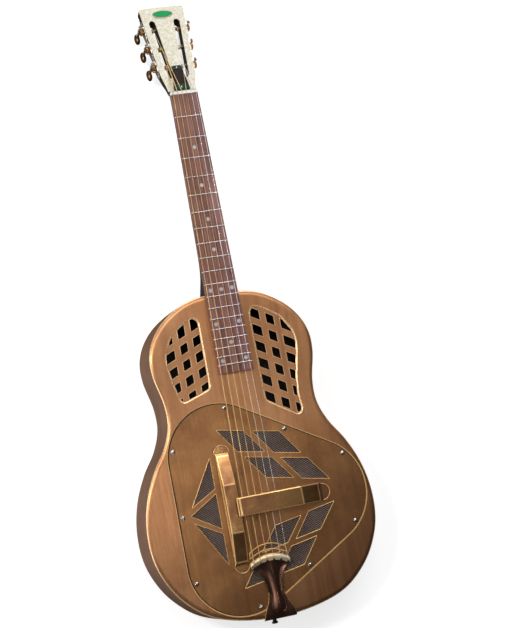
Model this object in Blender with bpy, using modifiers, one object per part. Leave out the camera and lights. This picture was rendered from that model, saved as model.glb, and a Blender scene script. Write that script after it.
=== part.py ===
"""Three-cone resonator guitar with a metal body, twelve frets clear of the body and a slotted headstock.

The guitar lies on its back.  +X points to the treble side, +Y to the headstock and +Z out of the top.
The origin is on the outer face of the back, under the middle of the saddle.  Lengths are in metres.
"""
import math

import bmesh
import bpy
import numpy as np
from mathutils import Matrix, Vector

MM = 0.001

# ---- driving dimensions -------------------------------------------------------------------------
SCALE_LENGTH = 635 * MM
BODY_DEPTH = 80 * MM
SHEET = 1 * MM
RIM_RADIUS = 4 * MM
RIM_LIP = 2 * MM
GAP = 0.3 * MM
FRET_COUNT = 19
HEAD_TILT = math.radians(14)
HEAD_LENGTH = 159 * MM
HEAD_THICKNESS = 18 * MM
FACE_SHEET = 1.5 * MM
STRING_COUNT = 6

# Right half of the body outline, from the tail to the neck, in millimetres.
BODY_HALF = [(0, -171), (62, -164.5), (110, -148), (146, -117), (168, -81), (178, -45), (178, -3), (169, 37),
             (152, 74), (131, 106), (119, 138), (119, 172), (128, 214), (127, 247), (113, 277), (87, 302),
             (50, 320), (0, 325)]
BODY_SAMPLES = 3
STRAP_HOLE_RADIUS = 2.6 * MM
NECK_STICK = ((-14 * MM, -150 * MM, 14 * MM), (14 * MM, 322 * MM, 34 * MM))
TAIL_BLOCK = ((-24 * MM, -168 * MM, 6 * MM), (24 * MM, -150.5 * MM, 43 * MM))

# Three cones on an equilateral triangle; the plates over them follow it at a constant distance.
CONE_PITCH = 156 * MM
CONE_CENTRES = [(-47 * MM, CONE_PITCH / 2), (-47 * MM, -CONE_PITCH / 2), (88 * MM, 0)]
CONE_NAMES = ["cone_bass_upper", "cone_bass_lower", "cone_treble"]
CONE_BISECTORS = [120, 240, 0]
CONE_RADIUS = 76 * MM
CONE_RIM_Z = 45.8 * MM
CONE_APEX_Z = 66 * MM
CONE_SHEET = 0.8 * MM
WELL_OUTER = 80.5 * MM
WELL_SHEET = 1.2 * MM
WELL_FLOOR_Z = 44 * MM
WELL_HOLE_RADIUS = 70 * MM
COVER_MARGIN = 80 * MM
COVER_SHEET = 1.2 * MM
TOP_OPENING_MARGIN = 66 * MM
GAUZE_MARGIN = 64 * MM
GAUZE_SHEET = 0.6 * MM
SCREW_MARGIN = 75 * MM
SCREW_SPREAD = 44
SCREW_HOLE_RADIUS = 1.7 * MM
# Screw: radius and height over its seat on the plate.
SCREW_PROFILE = [(0, 2.3), (1.4, 2.1), (2.7, 1.3), (3.2, 0), (1.3, -0.01), (1.3, -8), (0, -8)]
SADDLE_SLOT = (36 * MM, 6 * MM)
SADDLE_HALF_X = 28.5 * MM
SADDLE_HALF_Y = 2.5 * MM

# Openings of the coverplate on the neck side, in millimetres; the tail side mirrors them.
COVER_PANES = [[(-48, 119.7), (-5.6, 112.3), (21.6, 74.9), (-20.7, 82.2)],
               [(7.2, 109.2), (49.5, 101.8), (77.3, 63.6), (34.4, 71.4)],
               [(-12.3, 72.8), (30.7, 65.1), (58.9, 28.7), (16.2, 36.3)],
               [(43.6, 62.2), (85.4, 54.8), (114.4, 17.2), (71.2, 25.1)],
               [(-105.8, 11.4), (-65.2, 33.8), (-65.2, 80.8)]]
COVER_MIDDLE_PANE = [(-109.5, 0), (-65.2, -26.8), (-65.2, 26.8)]

# Sound openings of the upper bout, in millimetres, and the lattice inside them.
BASS_OPENING = [(-44.5, 183), (-44, 287), (-52, 293.5), (-61, 289), (-75, 281), (-91, 267),
                (-102, 244), (-103.3, 230), (-99, 202), (-95, 184), (-92, 172), (-86, 168.5)]
TREBLE_OPENING = [(39, 290), (39, 152), (86, 122.5), (93, 128), (90.5, 152), (93, 181), (100, 213),
                  (103.3, 232), (101, 250), (86, 274), (61, 291), (46, 297)]
LATTICE_LAYER = 0.9 * MM
LATTICE_STRIP = 9 * MM
LATTICE_SPAN = (120 * MM, 60 * MM)
LATTICE_MIDDLE_Y = 215 * MM
LATTICE_MIDDLE_X = 70 * MM
BASS_LATTICE = dict(uprights=[61.5 * MM, 83 * MM], slope=0.42, first=188.9 * MM, pitch=24.3 * MM, count=4)
TREBLE_LATTICE = dict(uprights=[58.5 * MM, 80 * MM], slope=-0.55, first=129.3 * MM, pitch=26 * MM, count=7)
GRILLE_LAP = 5 * MM

# Hand rest over the bridge: a long bar along the strings and a crossbar over the saddle.
LONG_BAR_X = -46 * MM
# Stations: position along the bar, half width, height of the middle and of the edges.
LONG_BAR_HALF = [(0, 10.2, 95, 82.3), (34, 10.2, 95, 82.3), (37, 10.2, 94.7, 82.3), (80, 10.3, 84.8, 82.3),
                 (83, 10.6, 83.3, 82.6), (84.5, 12.5, 83.1, 83.1), (88, 12.2, 83.1, 83.1),
                 (92, 10.2, 83.1, 83.1), (95.6, 5, 83.1, 83.1), (96.4, 1.5, 83.1, 83.1)]
CROSS_BAR_STATIONS = [(-41.5, 14, 96.8, 96.7), (-39.2, 14.4, 100, 97.2), (-36.5, 14.5, 101, 97),
                      (20, 14.5, 101, 97), (59, 14.5, 101, 97), (62, 14.5, 100.2, 96.6),
                      (93, 14.4, 84.4, 82.4), (96, 14, 83.2, 83.1), (101, 13.1, 83.1, 83.1),
                      (106, 9.8, 83.1, 83.1), (109, 5.2, 83.1, 83.1), (110, 1.5, 83.1, 83.1)]
# Section of a bar from edge to edge: share of the half width, share of the rise.
REST_PROFILE = [(-1, 0), (-0.97, 0.35), (-0.93, 0.72), (-0.8, 1), (0, 1), (0.8, 1), (0.93, 0.72),
                (0.97, 0.35), (1, 0)]

# Neck and fretboard.
BODY_JOINT_Y = 325.6 * MM
NUT_COMPENSATION = 2 * MM
NUT_Y = SCALE_LENGTH + NUT_COMPENSATION
NUT_LENGTH = 4.6 * MM
NUT_TOP_Z = 87.8 * MM
BOARD_END_Y = 201.5 * MM
BOARD_HALF_AT_NUT = 21.3 * MM
BOARD_HALF_AT_END = 27.3 * MM
BOARD_TOP_Z = 86 * MM
FRET_HEIGHT = 1 * MM
FRET_WIDTH = 2 * MM
# Shaft sections: y, half width, depth, squareness of the section (2 is an ellipse).
SHAFT_STATIONS = [(325.6, 25.4, 67, 2.7), (331, 25.4, 64, 2.6), (340, 25.2, 54, 2.5), (350, 25, 41, 2.4),
                  (362, 24.9, 29.5, 2.3), (380, 24.6, 22.5, 2.2), (410, 24.2, 19.5, 2.2),
                  (500, 23, 17.8, 2.2),
                  (590, 21.8, 16.4, 2.2), (628, 21.4, 16.4, 2.3), (641.8, 21.4, 17.6, 2.6)]
# Head sections: distance from the nut along the head, half width, depth, squareness.
HEAD_STATIONS = [(8, 21.9, 17.6, 3), (18, 23.4, 18, 4), (29, 26.2, 18, 6), (38, 27.9, 18, 8),
                 (155.5, 35.9, 18, 8), (158, 34.6, 18, 8), (159, 31, 17.6, 8)]
HEAD_TIP = [(35.7, 154), (35.4, 156.6), (33, 158.2), (18, 159.3)]
NECK_SIDES = 12
HEAD_SIDE_START = 38 * MM
HEAD_HALF_AT_START = 27.9 * MM
HEAD_SIDE_SLOPE = 0.0677
SLOT_HALF = 4.75 * MM
SLOT_ENDS = [(31 * MM, 12.9 * MM), (135 * MM, 19.9 * MM)]
TRUSS_HALF = 2.8 * MM
TRUSS_FLOOR_Z = 70.5 * MM
TRUSS_RADIUS = 2.2 * MM
TRUSS_CHANNEL = (336 * MM, 664 * MM)
TRUSS_ROD = (338 * MM, 647 * MM)

# Tuners: three a side, each a string post with a worm wheel and a worm shaft with a button.
POST_DISTANCES = [54.5 * MM, 88 * MM, 121.5 * MM]
POST_RADIUS = 3 * MM
POST_DEPTH = 9 * MM
POST_INNER_END = 26.3 * MM
WHEEL_RADIUS = 5.2 * MM
WHEEL_RANGE = (2.6 * MM, 6.4 * MM)
WORM_OFFSET = 7.5 * MM
WORM_STANDOFF = 4.5 * MM
# Worm shaft from its knob down to the button's neck: height, radius.
WORM_SHAFT = [(7.4, 1.3), (3.9, 1.3), (3.6, 2), (-4, 2), (-4.3, 1.3), (-12.6, 1.3), (-13, 2.6), (-24.2, 2.4)]
EAR_HEIGHTS = (4.2 * MM, -6.6 * MM)
EAR_HALF = 3.4 * MM
EAR_REACH = 7.4 * MM
EAR_THICKNESS = 2 * MM
WORM_HOLE_RADIUS = 1.6 * MM
TUNER_PLATE_SHEET = 1.2 * MM
TUNER_PLATE_HALF = 52 * MM
TUNER_PLATE_HEIGHT = 6.6 * MM
TUNER_PLATE_END = 1.2 * MM
TUNER_PLATE_RIPPLE = 1.5 * MM
TUNER_PLATE_STEPS = 26
BUTTON_HALF = (4.6 * MM, 8.6 * MM, 7 * MM)
BUTTON_CENTRE = -31.5 * MM

# Strings from bass to treble: radius and post; by post, the winding's place beside the slot's middle.
STRING_RADII = [0.67 * MM, 0.54 * MM, 0.42 * MM, 0.33 * MM, 0.22 * MM, 0.17 * MM]
STRING_SPREAD_NUT = 36.5 * MM
STRING_SPREAD_SADDLE = 53 * MM
STRING_POSTS = [0, 1, 2, 2, 1, 0]
STRING_POST_OFFSETS = [0, -3.2 * MM, 0.6 * MM]
STRING_COMB_Z = 89.2 * MM
STRING_CATCH = 0.2 * MM
SADDLE_TOP_Z = 92.3 * MM

# Tailpiece: rows along the strings with y, half width, ridge half width, ridge height, edge height, arc.
TAIL_ROWS = [(-75, 31, 27, 87.5, 86.6, 9.5), (-77, 31, 27, 90.6, 89.2, 9.5), (-80.5, 31, 27, 91.4, 90, 9.5),
             (-84, 30.5, 25, 90.6, 87.5, 9.3), (-91, 26.5, 18.5, 90.2, 85.8, 6),
             (-98, 20.8, 13, 90, 85.4, 3.4),
             (-106, 16.8, 9.6, 89.8, 85.2, 1.4), (-116, 13.9, 7.6, 89.4, 85, 0),
             (-126, 12.7, 6.8, 89.2, 85, 0), (-131, 12.6, 6.6, 89.2, 85, 0), (-132.5, 9, 6.6, 89.2, 85, 0),
             (-142, 9.2, 7.4, 89.8, 85, 0), (-151, 10.8, 9.2, 90, 85, 0), (-158, 10.6, 8.8, 88.6, 85, 0),
             (-162, 7.8, 5, 86.6, 85, 0), (-163.4, 4, 2, 85.4, 85, 0)]
TAIL_COLUMNS = [-1, -0.8, -0.6, -0.4, -0.2, 0, 0.2, 0.4, 0.6, 0.8, 1]
TAIL_SHEET = 1.3 * MM
# Bracket rows from the tongue under the tailpiece over the rim and down the tail: y, z, half width.
BRACKET_ROWS = [(-127, 83.3, 10), (-136, 83.3, 12.6), (-143, 83.3, 14.2), (-150, 83.3, 17.2),
                (-158, 83, 21.4), (-166, 82.2, 24.6), (-170, 81, 25.2), (-172.6, 78.2, 25.4), (-173, 74, 25),
                (-173, 62, 20), (-173, 48, 14), (-173, 34, 11), (-173, 27, 6)]
BRACKET_COLUMNS = [-1, -0.5, 0, 0.5, 1]
HINGE_PIN_Y = -150 * MM
HINGE_PIN_Z = 85 * MM
HINGE_PIN_RADIUS = 1.1 * MM
HINGE_PIN_HALF = 6 * MM
# Wire in front of the comb: y of each rod's middle, half length, direction of the run.
WIRE_RODS = [(-60, 28, 1), (-68.8, 29.5, -1)]
WIRE_RADIUS = 0.8 * MM
WIRE_ARC = 9.5
WIRE_Z = 88.2
WIRE_DROP = 1.2
STRAP_Z = 36 * MM
# Strap button: radius and distance out from the bracket, with its screw going in.
STRAP_PROFILE = [(0, 9.4), (3.4, 9), (4.9, 7.6), (4.9, 6.4), (3, 4.8), (3.2, 2.4), (4.6, 1.2), (4.6, 0),
                 (2.2, -0.01), (2.2, -11.5), (0, -11.5)]
# The strings pull the tailpiece slightly towards the bass side; it pivots about the tail.
LEAN_AT_COMB = 4 * MM
LEAN_AT_TAIL = 0.8 * MM
COMB_Y = -80 * MM
TAIL_Y = -173 * MM


# ---- scene, materials and mesh helpers ----------------------------------------------------------
def empty_scene():
    """Remove what the scene holds and give the two collections: parts and cutters."""
    for obj in list(bpy.data.objects):
        bpy.data.objects.remove(obj, do_unlink=True)
    made = []
    for name in ("resonator_guitar", "cutters"):
        collection = bpy.data.collections.new(name)
        bpy.context.scene.collection.children.link(collection)
        made.append(collection)
    return made


PARTS, CUTTERS = empty_scene()


def material(name, color, roughness, metallic):
    mat = bpy.data.materials.new(name)
    mat.use_nodes = True
    shader = mat.node_tree.nodes["Principled BSDF"]
    shader.inputs["Base Color"].default_value = (*color, 1)
    shader.inputs["Roughness"].default_value = roughness
    shader.inputs["Metallic"].default_value = metallic
    mat.diffuse_color = (*color, 1)
    return mat


COPPER = material("brushed_copper", (0.45, 0.25, 0.12), 0.38, 1)
BRONZE = material("cover_bronze", (0.36, 0.22, 0.08), 0.4, 1)
GAUZE = material("dark_gauze", (0.16, 0.13, 0.11), 0.55, 1)
REST_BRASS = material("rest_brass", (0.55, 0.36, 0.11), 0.32, 1)
SCREW_STEEL = material("screw_steel", (0.62, 0.6, 0.58), 0.28, 1)
SPUN_ALUMINIUM = material("spun_aluminium", (0.8, 0.8, 0.82), 0.3, 1)
MAPLE = material("maple", (0.62, 0.45, 0.26), 0.5, 0)
MAHOGANY = material("dark_mahogany", (0.09, 0.045, 0.03), 0.35, 0)
PEARLOID = material("pearloid", (0.8, 0.77, 0.66), 0.3, 0)
ROSEWOOD = material("rosewood", (0.2, 0.1, 0.07), 0.5, 0)
BONE = material("bone", (0.88, 0.86, 0.8), 0.4, 0)
BLACK = material("black_plate", (0.03, 0.03, 0.03), 0.3, 0)
GREEN = material("green_enamel", (0.02, 0.4, 0.16), 0.3, 0)
PHOSPHOR = material("wound_bronze", (0.75, 0.5, 0.22), 0.35, 1)
STEEL_WIRE = material("steel_wire", (0.7, 0.7, 0.72), 0.2, 1)
ANTIQUE = material("antique_brass", (0.3, 0.22, 0.15), 0.4, 1)
DARK_METAL = material("dark_bronze", (0.15, 0.09, 0.06), 0.35, 1)


def scaled(points):
    """Millimetre points in metres."""
    return [tuple(value * MM for value in point) for point in points]


def finish(mesh, angle=math.radians(35)):
    """Shade round faces smooth and keep sharp edges sharp."""
    mesh.shade_smooth()
    mesh.set_sharp_from_angle(angle=angle)


def add(name, mesh, mat, parent=None, matrix=None):
    """One named part with its material."""
    finish(mesh)
    obj = bpy.data.objects.new(name, mesh)
    mesh.materials.clear()
    mesh.materials.append(mat)
    PARTS.objects.link(obj)
    place(obj, parent, matrix)
    return obj


def add_cutter(name, mesh, parent=None, matrix=None):
    obj = bpy.data.objects.new(name, mesh)
    CUTTERS.objects.link(obj)
    obj.hide_render = True
    obj.display_type = "WIRE"
    place(obj, parent, matrix)
    return obj


def place(obj, parent, matrix):
    obj.parent = parent
    if matrix is not None:
        obj.matrix_basis = matrix


def boolean(obj, other, operation="DIFFERENCE"):
    modifier = obj.modifiers.new(other.name, "BOOLEAN")
    modifier.operation = operation
    modifier.solver = "EXACT"
    modifier.object = other


def solidify(obj, thickness, offset=-1):
    modifier = obj.modifiers.new("sheet", "SOLIDIFY")
    modifier.thickness = thickness
    modifier.offset = offset
    modifier.use_even_offset = True


def mesh_of(bm, name):
    bmesh.ops.recalc_face_normals(bm, faces=bm.faces)
    mesh = bpy.data.meshes.new(name)
    bm.to_mesh(mesh)
    bm.free()
    return mesh


def mesh_from_curve(curve, name, weld=1e-6):
    """The evaluated mesh of a curve with its loose caps welded on."""
    guide = bpy.data.objects.new(name + "_curve", curve)
    bpy.context.scene.collection.objects.link(guide)
    evaluated = guide.evaluated_get(bpy.context.evaluated_depsgraph_get())
    mesh = bpy.data.meshes.new_from_object(evaluated)
    bpy.data.objects.remove(guide)
    bpy.data.curves.remove(curve)
    bm = bmesh.new()
    bm.from_mesh(mesh)
    bpy.data.meshes.remove(mesh)
    bmesh.ops.remove_doubles(bm, verts=bm.verts, dist=weld)
    return mesh_of(bm, name)


def plate_mesh(name, loops, low, high):
    """A flat plate between two heights: the first loop is its outline, the others are its holes."""
    curve = bpy.data.curves.new(name, "CURVE")
    curve.dimensions = "2D"
    curve.fill_mode = "BOTH"
    curve.extrude = (high - low) / 2
    for loop in loops:
        spline = curve.splines.new("POLY")
        spline.points.add(len(loop) - 1)
        for point, (x, y) in zip(spline.points, loop):
            point.co = (x, y, 0, 1)
        spline.use_cyclic_u = True
    mesh = mesh_from_curve(curve, name)
    mesh.transform(Matrix.Translation((0, 0, (low + high) / 2)))
    return mesh


def wire_mesh(name, points, radius, closed=False, resolution=2):
    """A round wire through the points."""
    curve = bpy.data.curves.new(name, "CURVE")
    curve.dimensions = "3D"
    curve.bevel_depth = radius
    curve.bevel_resolution = resolution
    curve.use_fill_caps = not closed
    spline = curve.splines.new("POLY")
    spline.points.add(len(points) - 1)
    for point, place_at in zip(spline.points, points):
        point.co = (*place_at, 1)
    spline.use_cyclic_u = closed
    return mesh_from_curve(curve, name)


def box_mesh(name, low, high, bevel=0.0):
    bm = bmesh.new()
    bmesh.ops.create_cube(bm, size=1)
    size = [b - a for a, b in zip(low, high)]
    middle = [(a + b) / 2 for a, b in zip(low, high)]
    bmesh.ops.scale(bm, vec=size, verts=bm.verts)
    bmesh.ops.translate(bm, vec=middle, verts=bm.verts)
    if bevel:
        bmesh.ops.bevel(bm, geom=bm.edges, offset=bevel, segments=2, profile=0.5, affect="EDGES")
    return mesh_of(bm, name)


def rod_mesh(name, start, end, radius, sides=16, end_radius=None):
    """A round rod, or a cone frustum, between two points."""
    start, end = Vector(start), Vector(end)
    bm = bmesh.new()
    last = radius if end_radius is None else end_radius
    bmesh.ops.create_cone(bm, cap_ends=True, segments=sides, radius1=radius, radius2=last,
                          depth=(end - start).length)
    turn = (end - start).to_track_quat("Z", "Y").to_matrix().to_4x4()
    bmesh.ops.transform(bm, matrix=Matrix.Translation((start + end) / 2) @ turn, verts=bm.verts)
    return mesh_of(bm, name)


def loft_mesh(name, rings, cyclic=True, capped=True):
    """Skin equal rings of points; capped rings make a closed body."""
    bm = bmesh.new()
    rows = [[bm.verts.new(point) for point in ring] for ring in rings]
    count = len(rows[0])
    spans = count if cyclic else count - 1
    for row, following in zip(rows, rows[1:]):
        for i in range(spans):
            j = (i + 1) % count
            bm.faces.new((row[i], row[j], following[j], following[i]))
    if capped:
        bm.faces.new(rows[0])
        bm.faces.new(rows[-1])
    return mesh_of(bm, name)


def turned_mesh(name, profile, steps, closed=False):
    """A turned shape about +Z from a profile of (radius, height), outer side first, top to bottom."""
    mesh = bpy.data.meshes.new(name + "_profile")
    edges = [(i, i + 1) for i in range(len(profile) - 1)]
    if closed:
        edges.append((len(profile) - 1, 0))
    mesh.from_pydata([(radius, 0, height) for radius, height in profile], edges, [])
    guide = bpy.data.objects.new(name + "_profile", mesh)
    bpy.context.scene.collection.objects.link(guide)
    screw = guide.modifiers.new("turn", "SCREW")
    screw.steps = steps
    screw.render_steps = steps
    screw.use_merge_vertices = True
    screw.merge_threshold = 0.00001
    evaluated = guide.evaluated_get(bpy.context.evaluated_depsgraph_get())
    turned = bpy.data.meshes.new_from_object(evaluated)
    bpy.data.objects.remove(guide)
    bm = bmesh.new()
    bm.from_mesh(turned)
    bmesh.ops.remove_doubles(bm, verts=bm.verts, dist=1e-6)
    return mesh_of(bm, name)


# ---- outlines -----------------------------------------------------------------------------------
def smooth_loop(points, samples):
    """A closed curve through the points (Catmull-Rom)."""
    pts = np.array(points)
    count = len(pts)
    loop = []
    for i in range(count):
        p0, p1, p2, p3 = (pts[(i + k) % count] for k in (-1, 0, 1, 2))
        for step in range(samples):
            t = step / samples
            value = 0.5 * ((2 * p1) + (p2 - p0) * t + (2 * p0 - 5 * p1 + 4 * p2 - p3) * t ** 2
                           + (3 * p1 - p0 - 3 * p2 + p3) * t ** 3)
            loop.append(tuple(value))
    return loop


def rounded_loop(points, radius, steps=2):
    """A polygon with its corners cut to arcs of about the radius."""
    loop = []
    count = len(points)
    for i in range(count):
        before, corner, after = (Vector(points[(i + k) % count]) for k in (-1, 0, 1))
        reach_in = min(radius, (before - corner).length * 0.45)
        reach_out = min(radius, (after - corner).length * 0.45)
        start = corner + (before - corner).normalized() * reach_in
        end = corner + (after - corner).normalized() * reach_out
        for step in range(steps + 1):
            t = step / steps
            loop.append(tuple(start * (1 - t) ** 2 + corner * 2 * t * (1 - t) + end * t ** 2))
    return loop


def circle(centre, radius, sides):
    return [(centre[0] + radius * math.cos(2 * math.pi * i / sides),
             centre[1] + radius * math.sin(2 * math.pi * i / sides)) for i in range(sides)]


def offset_loop(loop, distance):
    """A smooth counter-clockwise loop moved inward by the distance."""
    pts = np.array(loop)
    tangent = np.roll(pts, -1, axis=0) - np.roll(pts, 1, axis=0)
    tangent /= np.linalg.norm(tangent, axis=1)[:, None]
    inward = np.stack([-tangent[:, 1], tangent[:, 0]], axis=1)
    return [tuple(point) for point in pts + inward * distance]


def body_loop():
    right = scaled(BODY_HALF)
    left = [(-x, y) for x, y in reversed(right[1:-1])]
    return smooth_loop(right + left, BODY_SAMPLES)


def cone_triangle(margin, steps=8):
    """The rounded triangle at a constant distance around the three cone centres."""
    loop = []
    for (cx, cy), middle in sorted(zip(CONE_CENTRES, CONE_BISECTORS), key=lambda item: item[1]):
        for step in range(steps + 1):
            angle = math.radians(middle - 60 + 120 * step / steps)
            loop.append((cx + margin * math.cos(angle), cy + margin * math.sin(angle)))
    return loop


def screw_places():
    """Two screws round each cone's lobe and one at the middle of each side."""
    places = []
    for (cx, cy), middle in zip(CONE_CENTRES, CONE_BISECTORS):
        for turn in (-SCREW_SPREAD, SCREW_SPREAD):
            angle = math.radians(middle + turn)
            places.append((cx + SCREW_MARGIN * math.cos(angle), cy + SCREW_MARGIN * math.sin(angle)))
    for first, second, direction in ((0, 1, 180), (0, 2, 60), (1, 2, 300)):
        cx = (CONE_CENTRES[first][0] + CONE_CENTRES[second][0]) / 2
        cy = (CONE_CENTRES[first][1] + CONE_CENTRES[second][1]) / 2
        angle = math.radians(direction)
        places.append((cx + SCREW_MARGIN * math.cos(angle), cy + SCREW_MARGIN * math.sin(angle)))
    return places


def grille_loops():
    return {"bass_grille": rounded_loop(scaled(BASS_OPENING), 4 * MM),
            "treble_grille": rounded_loop(scaled(TREBLE_OPENING), 4 * MM)}


# ---- body ---------------------------------------------------------------------------------------
def rim_rings(loop):
    """Rings of the sides: round the back's rim, up the wall and round the top's rim."""
    rings = [(RIM_RADIUS + RIM_LIP, 0)]
    for degrees in (90, 45, 0):
        angle = math.radians(degrees)
        inset = RIM_RADIUS * (1 - math.cos(angle))
        rings.append((inset, RIM_RADIUS * (1 - math.sin(angle))))
    rings += [(inset, BODY_DEPTH - z) for inset, z in reversed(rings)]
    return [[(x, y, z) for x, y in (offset_loop(loop, inset) if inset else loop)] for inset, z in rings]


def body_plate(name, low, high):
    """A flat sheet that lies inside the rolled rim of the sides."""
    outline = offset_loop(body_loop(), RIM_RADIUS + RIM_LIP + GAP)
    return add(name, plate_mesh(name, [outline], low, high), COPPER)


def build_body():
    top = body_plate("body_top", BODY_DEPTH - SHEET, BODY_DEPTH)
    below, above = BODY_DEPTH - 6 * MM, BODY_DEPTH + 6 * MM
    cutter = add_cutter("top_opening_cutter", plate_mesh("top_opening", [cone_triangle(TOP_OPENING_MARGIN)],
                                                         below, above))
    boolean(top, cutter)
    for name, loop in grille_loops().items():
        boolean(top, add_cutter(name + "_cutter", plate_mesh(name + "_opening", [loop], below, above)))
    for number, (x, y) in enumerate(screw_places(), 1):
        hole = rod_mesh("screw_hole", (x, y, below), (x, y, above), SCREW_HOLE_RADIUS, sides=8)
        boolean(top, add_cutter("screw_hole_%d_cutter" % number, hole))
    body_plate("body_back", 0, SHEET)
    sides = add("body_sides", loft_mesh("body_sides", rim_rings(body_loop()), capped=False), COPPER)
    solidify(sides, SHEET)
    hole = rod_mesh("strap_hole", (0, -180 * MM, STRAP_Z), (0, -140 * MM, STRAP_Z), STRAP_HOLE_RADIUS,
                    sides=12)
    strap_cutter = add_cutter("strap_hole_cutter", hole)
    boolean(sides, strap_cutter)

    add("neck_stick", box_mesh("neck_stick", *NECK_STICK), MAPLE)
    block = add("tail_block", box_mesh("tail_block", *TAIL_BLOCK), MAPLE)
    boolean(block, strap_cutter)
    return strap_cutter


def build_grille(name, loop, lattice, side):
    """A lattice plate soldered behind a sound opening: uprights along the strings and slanted strips."""
    high = BODY_DEPTH - SHEET - GAP
    low = high - 2 * LATTICE_LAYER
    middle = Vector(np.mean(np.array(loop), axis=0))
    outer = []
    for point in loop:
        away = Vector(point) - middle
        outer.append(tuple(Vector(point) + away.normalized() * GRILLE_LAP))
    obj = add(name, plate_mesh(name, [outer], low, high), COPPER)
    inner = [tuple(Vector(point) - (Vector(point) - middle).normalized() * 0.2 * MM) for point in loop]
    cells = add_cutter(name + "_cells", plate_mesh(name + "_cells", [inner], low - 2 * MM, high + 2 * MM))
    boxes = []
    half = LATTICE_STRIP / 2
    reach = 4 * MM
    for x in lattice["uprights"]:
        boxes.append(((side * x, LATTICE_MIDDLE_Y), 0, (half, LATTICE_SPAN[0])))
    tilt = math.atan(lattice["slope"])
    for number in range(lattice["count"]):
        y = lattice["first"] + number * lattice["pitch"]
        boxes.append(((side * LATTICE_MIDDLE_X, y), tilt, (LATTICE_SPAN[1], half)))
    for number, ((x, y), turn, (half_x, half_y)) in enumerate(boxes, 1):
        strip = box_mesh("strip", (-half_x, -half_y, low - reach), (half_x, half_y, high + reach))
        matrix = Matrix.Translation((x, y, 0)) @ Matrix.Rotation(turn, 4, "Z")
        boolean(cells, add_cutter("%s_strip_%d" % (name, number), strip, matrix=matrix))
    boolean(obj, cells)
    return obj


def build_soundwell():
    """The pan that carries the cones: a wall under the top and a floor with three round holes."""
    high = BODY_DEPTH - SHEET - 2 * GAP
    well = add("soundwell", plate_mesh("soundwell", [cone_triangle(WELL_OUTER)], WELL_FLOOR_Z, high), BRONZE)
    hollow = plate_mesh("well_hollow", [cone_triangle(WELL_OUTER - WELL_SHEET)], WELL_FLOOR_Z + WELL_SHEET,
                        high + 5 * MM)
    boolean(well, add_cutter("well_hollow_cutter", hollow))
    for number, centre in enumerate(CONE_CENTRES, 1):
        hole = rod_mesh("well_hole", (*centre, WELL_FLOOR_Z - 5 * MM), (*centre, WELL_FLOOR_Z + 5 * MM),
                        WELL_HOLE_RADIUS, sides=28)
        boolean(well, add_cutter("well_hole_%d_cutter" % number, hole))


def build_cones():
    """Thin spun cones with a flat rim, a stepped flank and a flat cap for the bridge."""
    outer = [(11 * MM, CONE_APEX_Z), (14 * MM, CONE_APEX_Z - 1.5 * MM), (40 * MM, CONE_RIM_Z + 12 * MM),
             (69 * MM, CONE_RIM_Z + CONE_SHEET), (CONE_RADIUS, CONE_RIM_Z + CONE_SHEET)]
    inner = [(radius, z - CONE_SHEET) for radius, z in reversed(outer)]
    profile = [(0, CONE_APEX_Z)] + outer + inner + [(0, CONE_APEX_Z - CONE_SHEET)]
    for name, centre in zip(CONE_NAMES, CONE_CENTRES):
        cone = add(name, turned_mesh(name, profile, 20), SPUN_ALUMINIUM)
        cone.location = (*centre, 0)


def build_bridge():
    """The T-shaped bridge over the three cones, and the saddle in its stem."""
    low, high = CONE_APEX_Z + GAP, CONE_APEX_Z + 6.3 * MM
    half = 4.5 * MM
    pad = 9 * MM
    bass_x, reach = CONE_CENTRES[0][0], CONE_CENTRES[0][1]
    treble_x = CONE_CENTRES[2][0]
    outline = [(treble_x, half), (bass_x + half, half), (bass_x + half, reach), (bass_x + pad, reach),
               (bass_x + pad, reach + pad), (bass_x - pad, reach + pad), (bass_x - pad, reach),
               (bass_x - half, reach)]
    lower = [(x, -y) for x, y in reversed(outline)]
    tip = [(treble_x, -pad), (treble_x + pad, -pad), (treble_x + pad, pad), (treble_x, pad)]
    add("t_bridge", plate_mesh("t_bridge", [outline + lower + tip], low, high), SPUN_ALUMINIUM)
    saddle = box_mesh("saddle", (-SADDLE_HALF_X, -SADDLE_HALF_Y, high + GAP),
                      (SADDLE_HALF_X, SADDLE_HALF_Y, SADDLE_TOP_Z))
    add("saddle", saddle, MAPLE)


# ---- coverplate and hand rest -------------------------------------------------------------------
def build_cover():
    low = BODY_DEPTH + GAP
    high = low + COVER_SHEET
    slot_x, slot_y = SADDLE_SLOT
    slot = [(-slot_x, -slot_y), (slot_x, -slot_y), (slot_x, slot_y), (-slot_x, slot_y)]
    panes = [scaled(COVER_MIDDLE_PANE)]
    for pane in COVER_PANES:
        points = scaled(pane)
        panes.append(points)
        panes.append([(x, -y) for x, y in points])
    holes = [circle(place_at, SCREW_HOLE_RADIUS, 8) for place_at in screw_places()]
    loops = [cone_triangle(COVER_MARGIN, 12), slot] + panes + holes
    add("coverplate", plate_mesh("coverplate", loops, low, high), BRONZE)
    gauze_high = low - GAP
    loops = [cone_triangle(GAUZE_MARGIN), slot]
    add("cover_gauze", plate_mesh("cover_gauze", loops, gauze_high - GAUZE_SHEET, gauze_high), GAUZE)

    seat = high + GAP
    profile = [(radius * MM, seat + z * MM) for radius, z in SCREW_PROFILE]
    for number, (x, y) in enumerate(screw_places(), 1):
        name = "cover_screw_%d" % number
        screw = add(name, turned_mesh(name, profile, 8), SCREW_STEEL)
        screw.location = (x, y, 0)


def rest_bar(name, stations, placer, mat):
    """A pressed channel: each station has its half width, top height and edge height."""
    rows = []
    for along, half, top, edge in stations:
        row = []
        for across, rise in REST_PROFILE:
            row.append(placer(along * MM, across * half * MM, (edge + (top - edge) * rise) * MM))
        rows.append(row)
    bar = add(name, loft_mesh(name, rows, cyclic=False, capped=False), mat)
    face_up(bar.data)
    solidify(bar, SHEET)
    return bar


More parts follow.
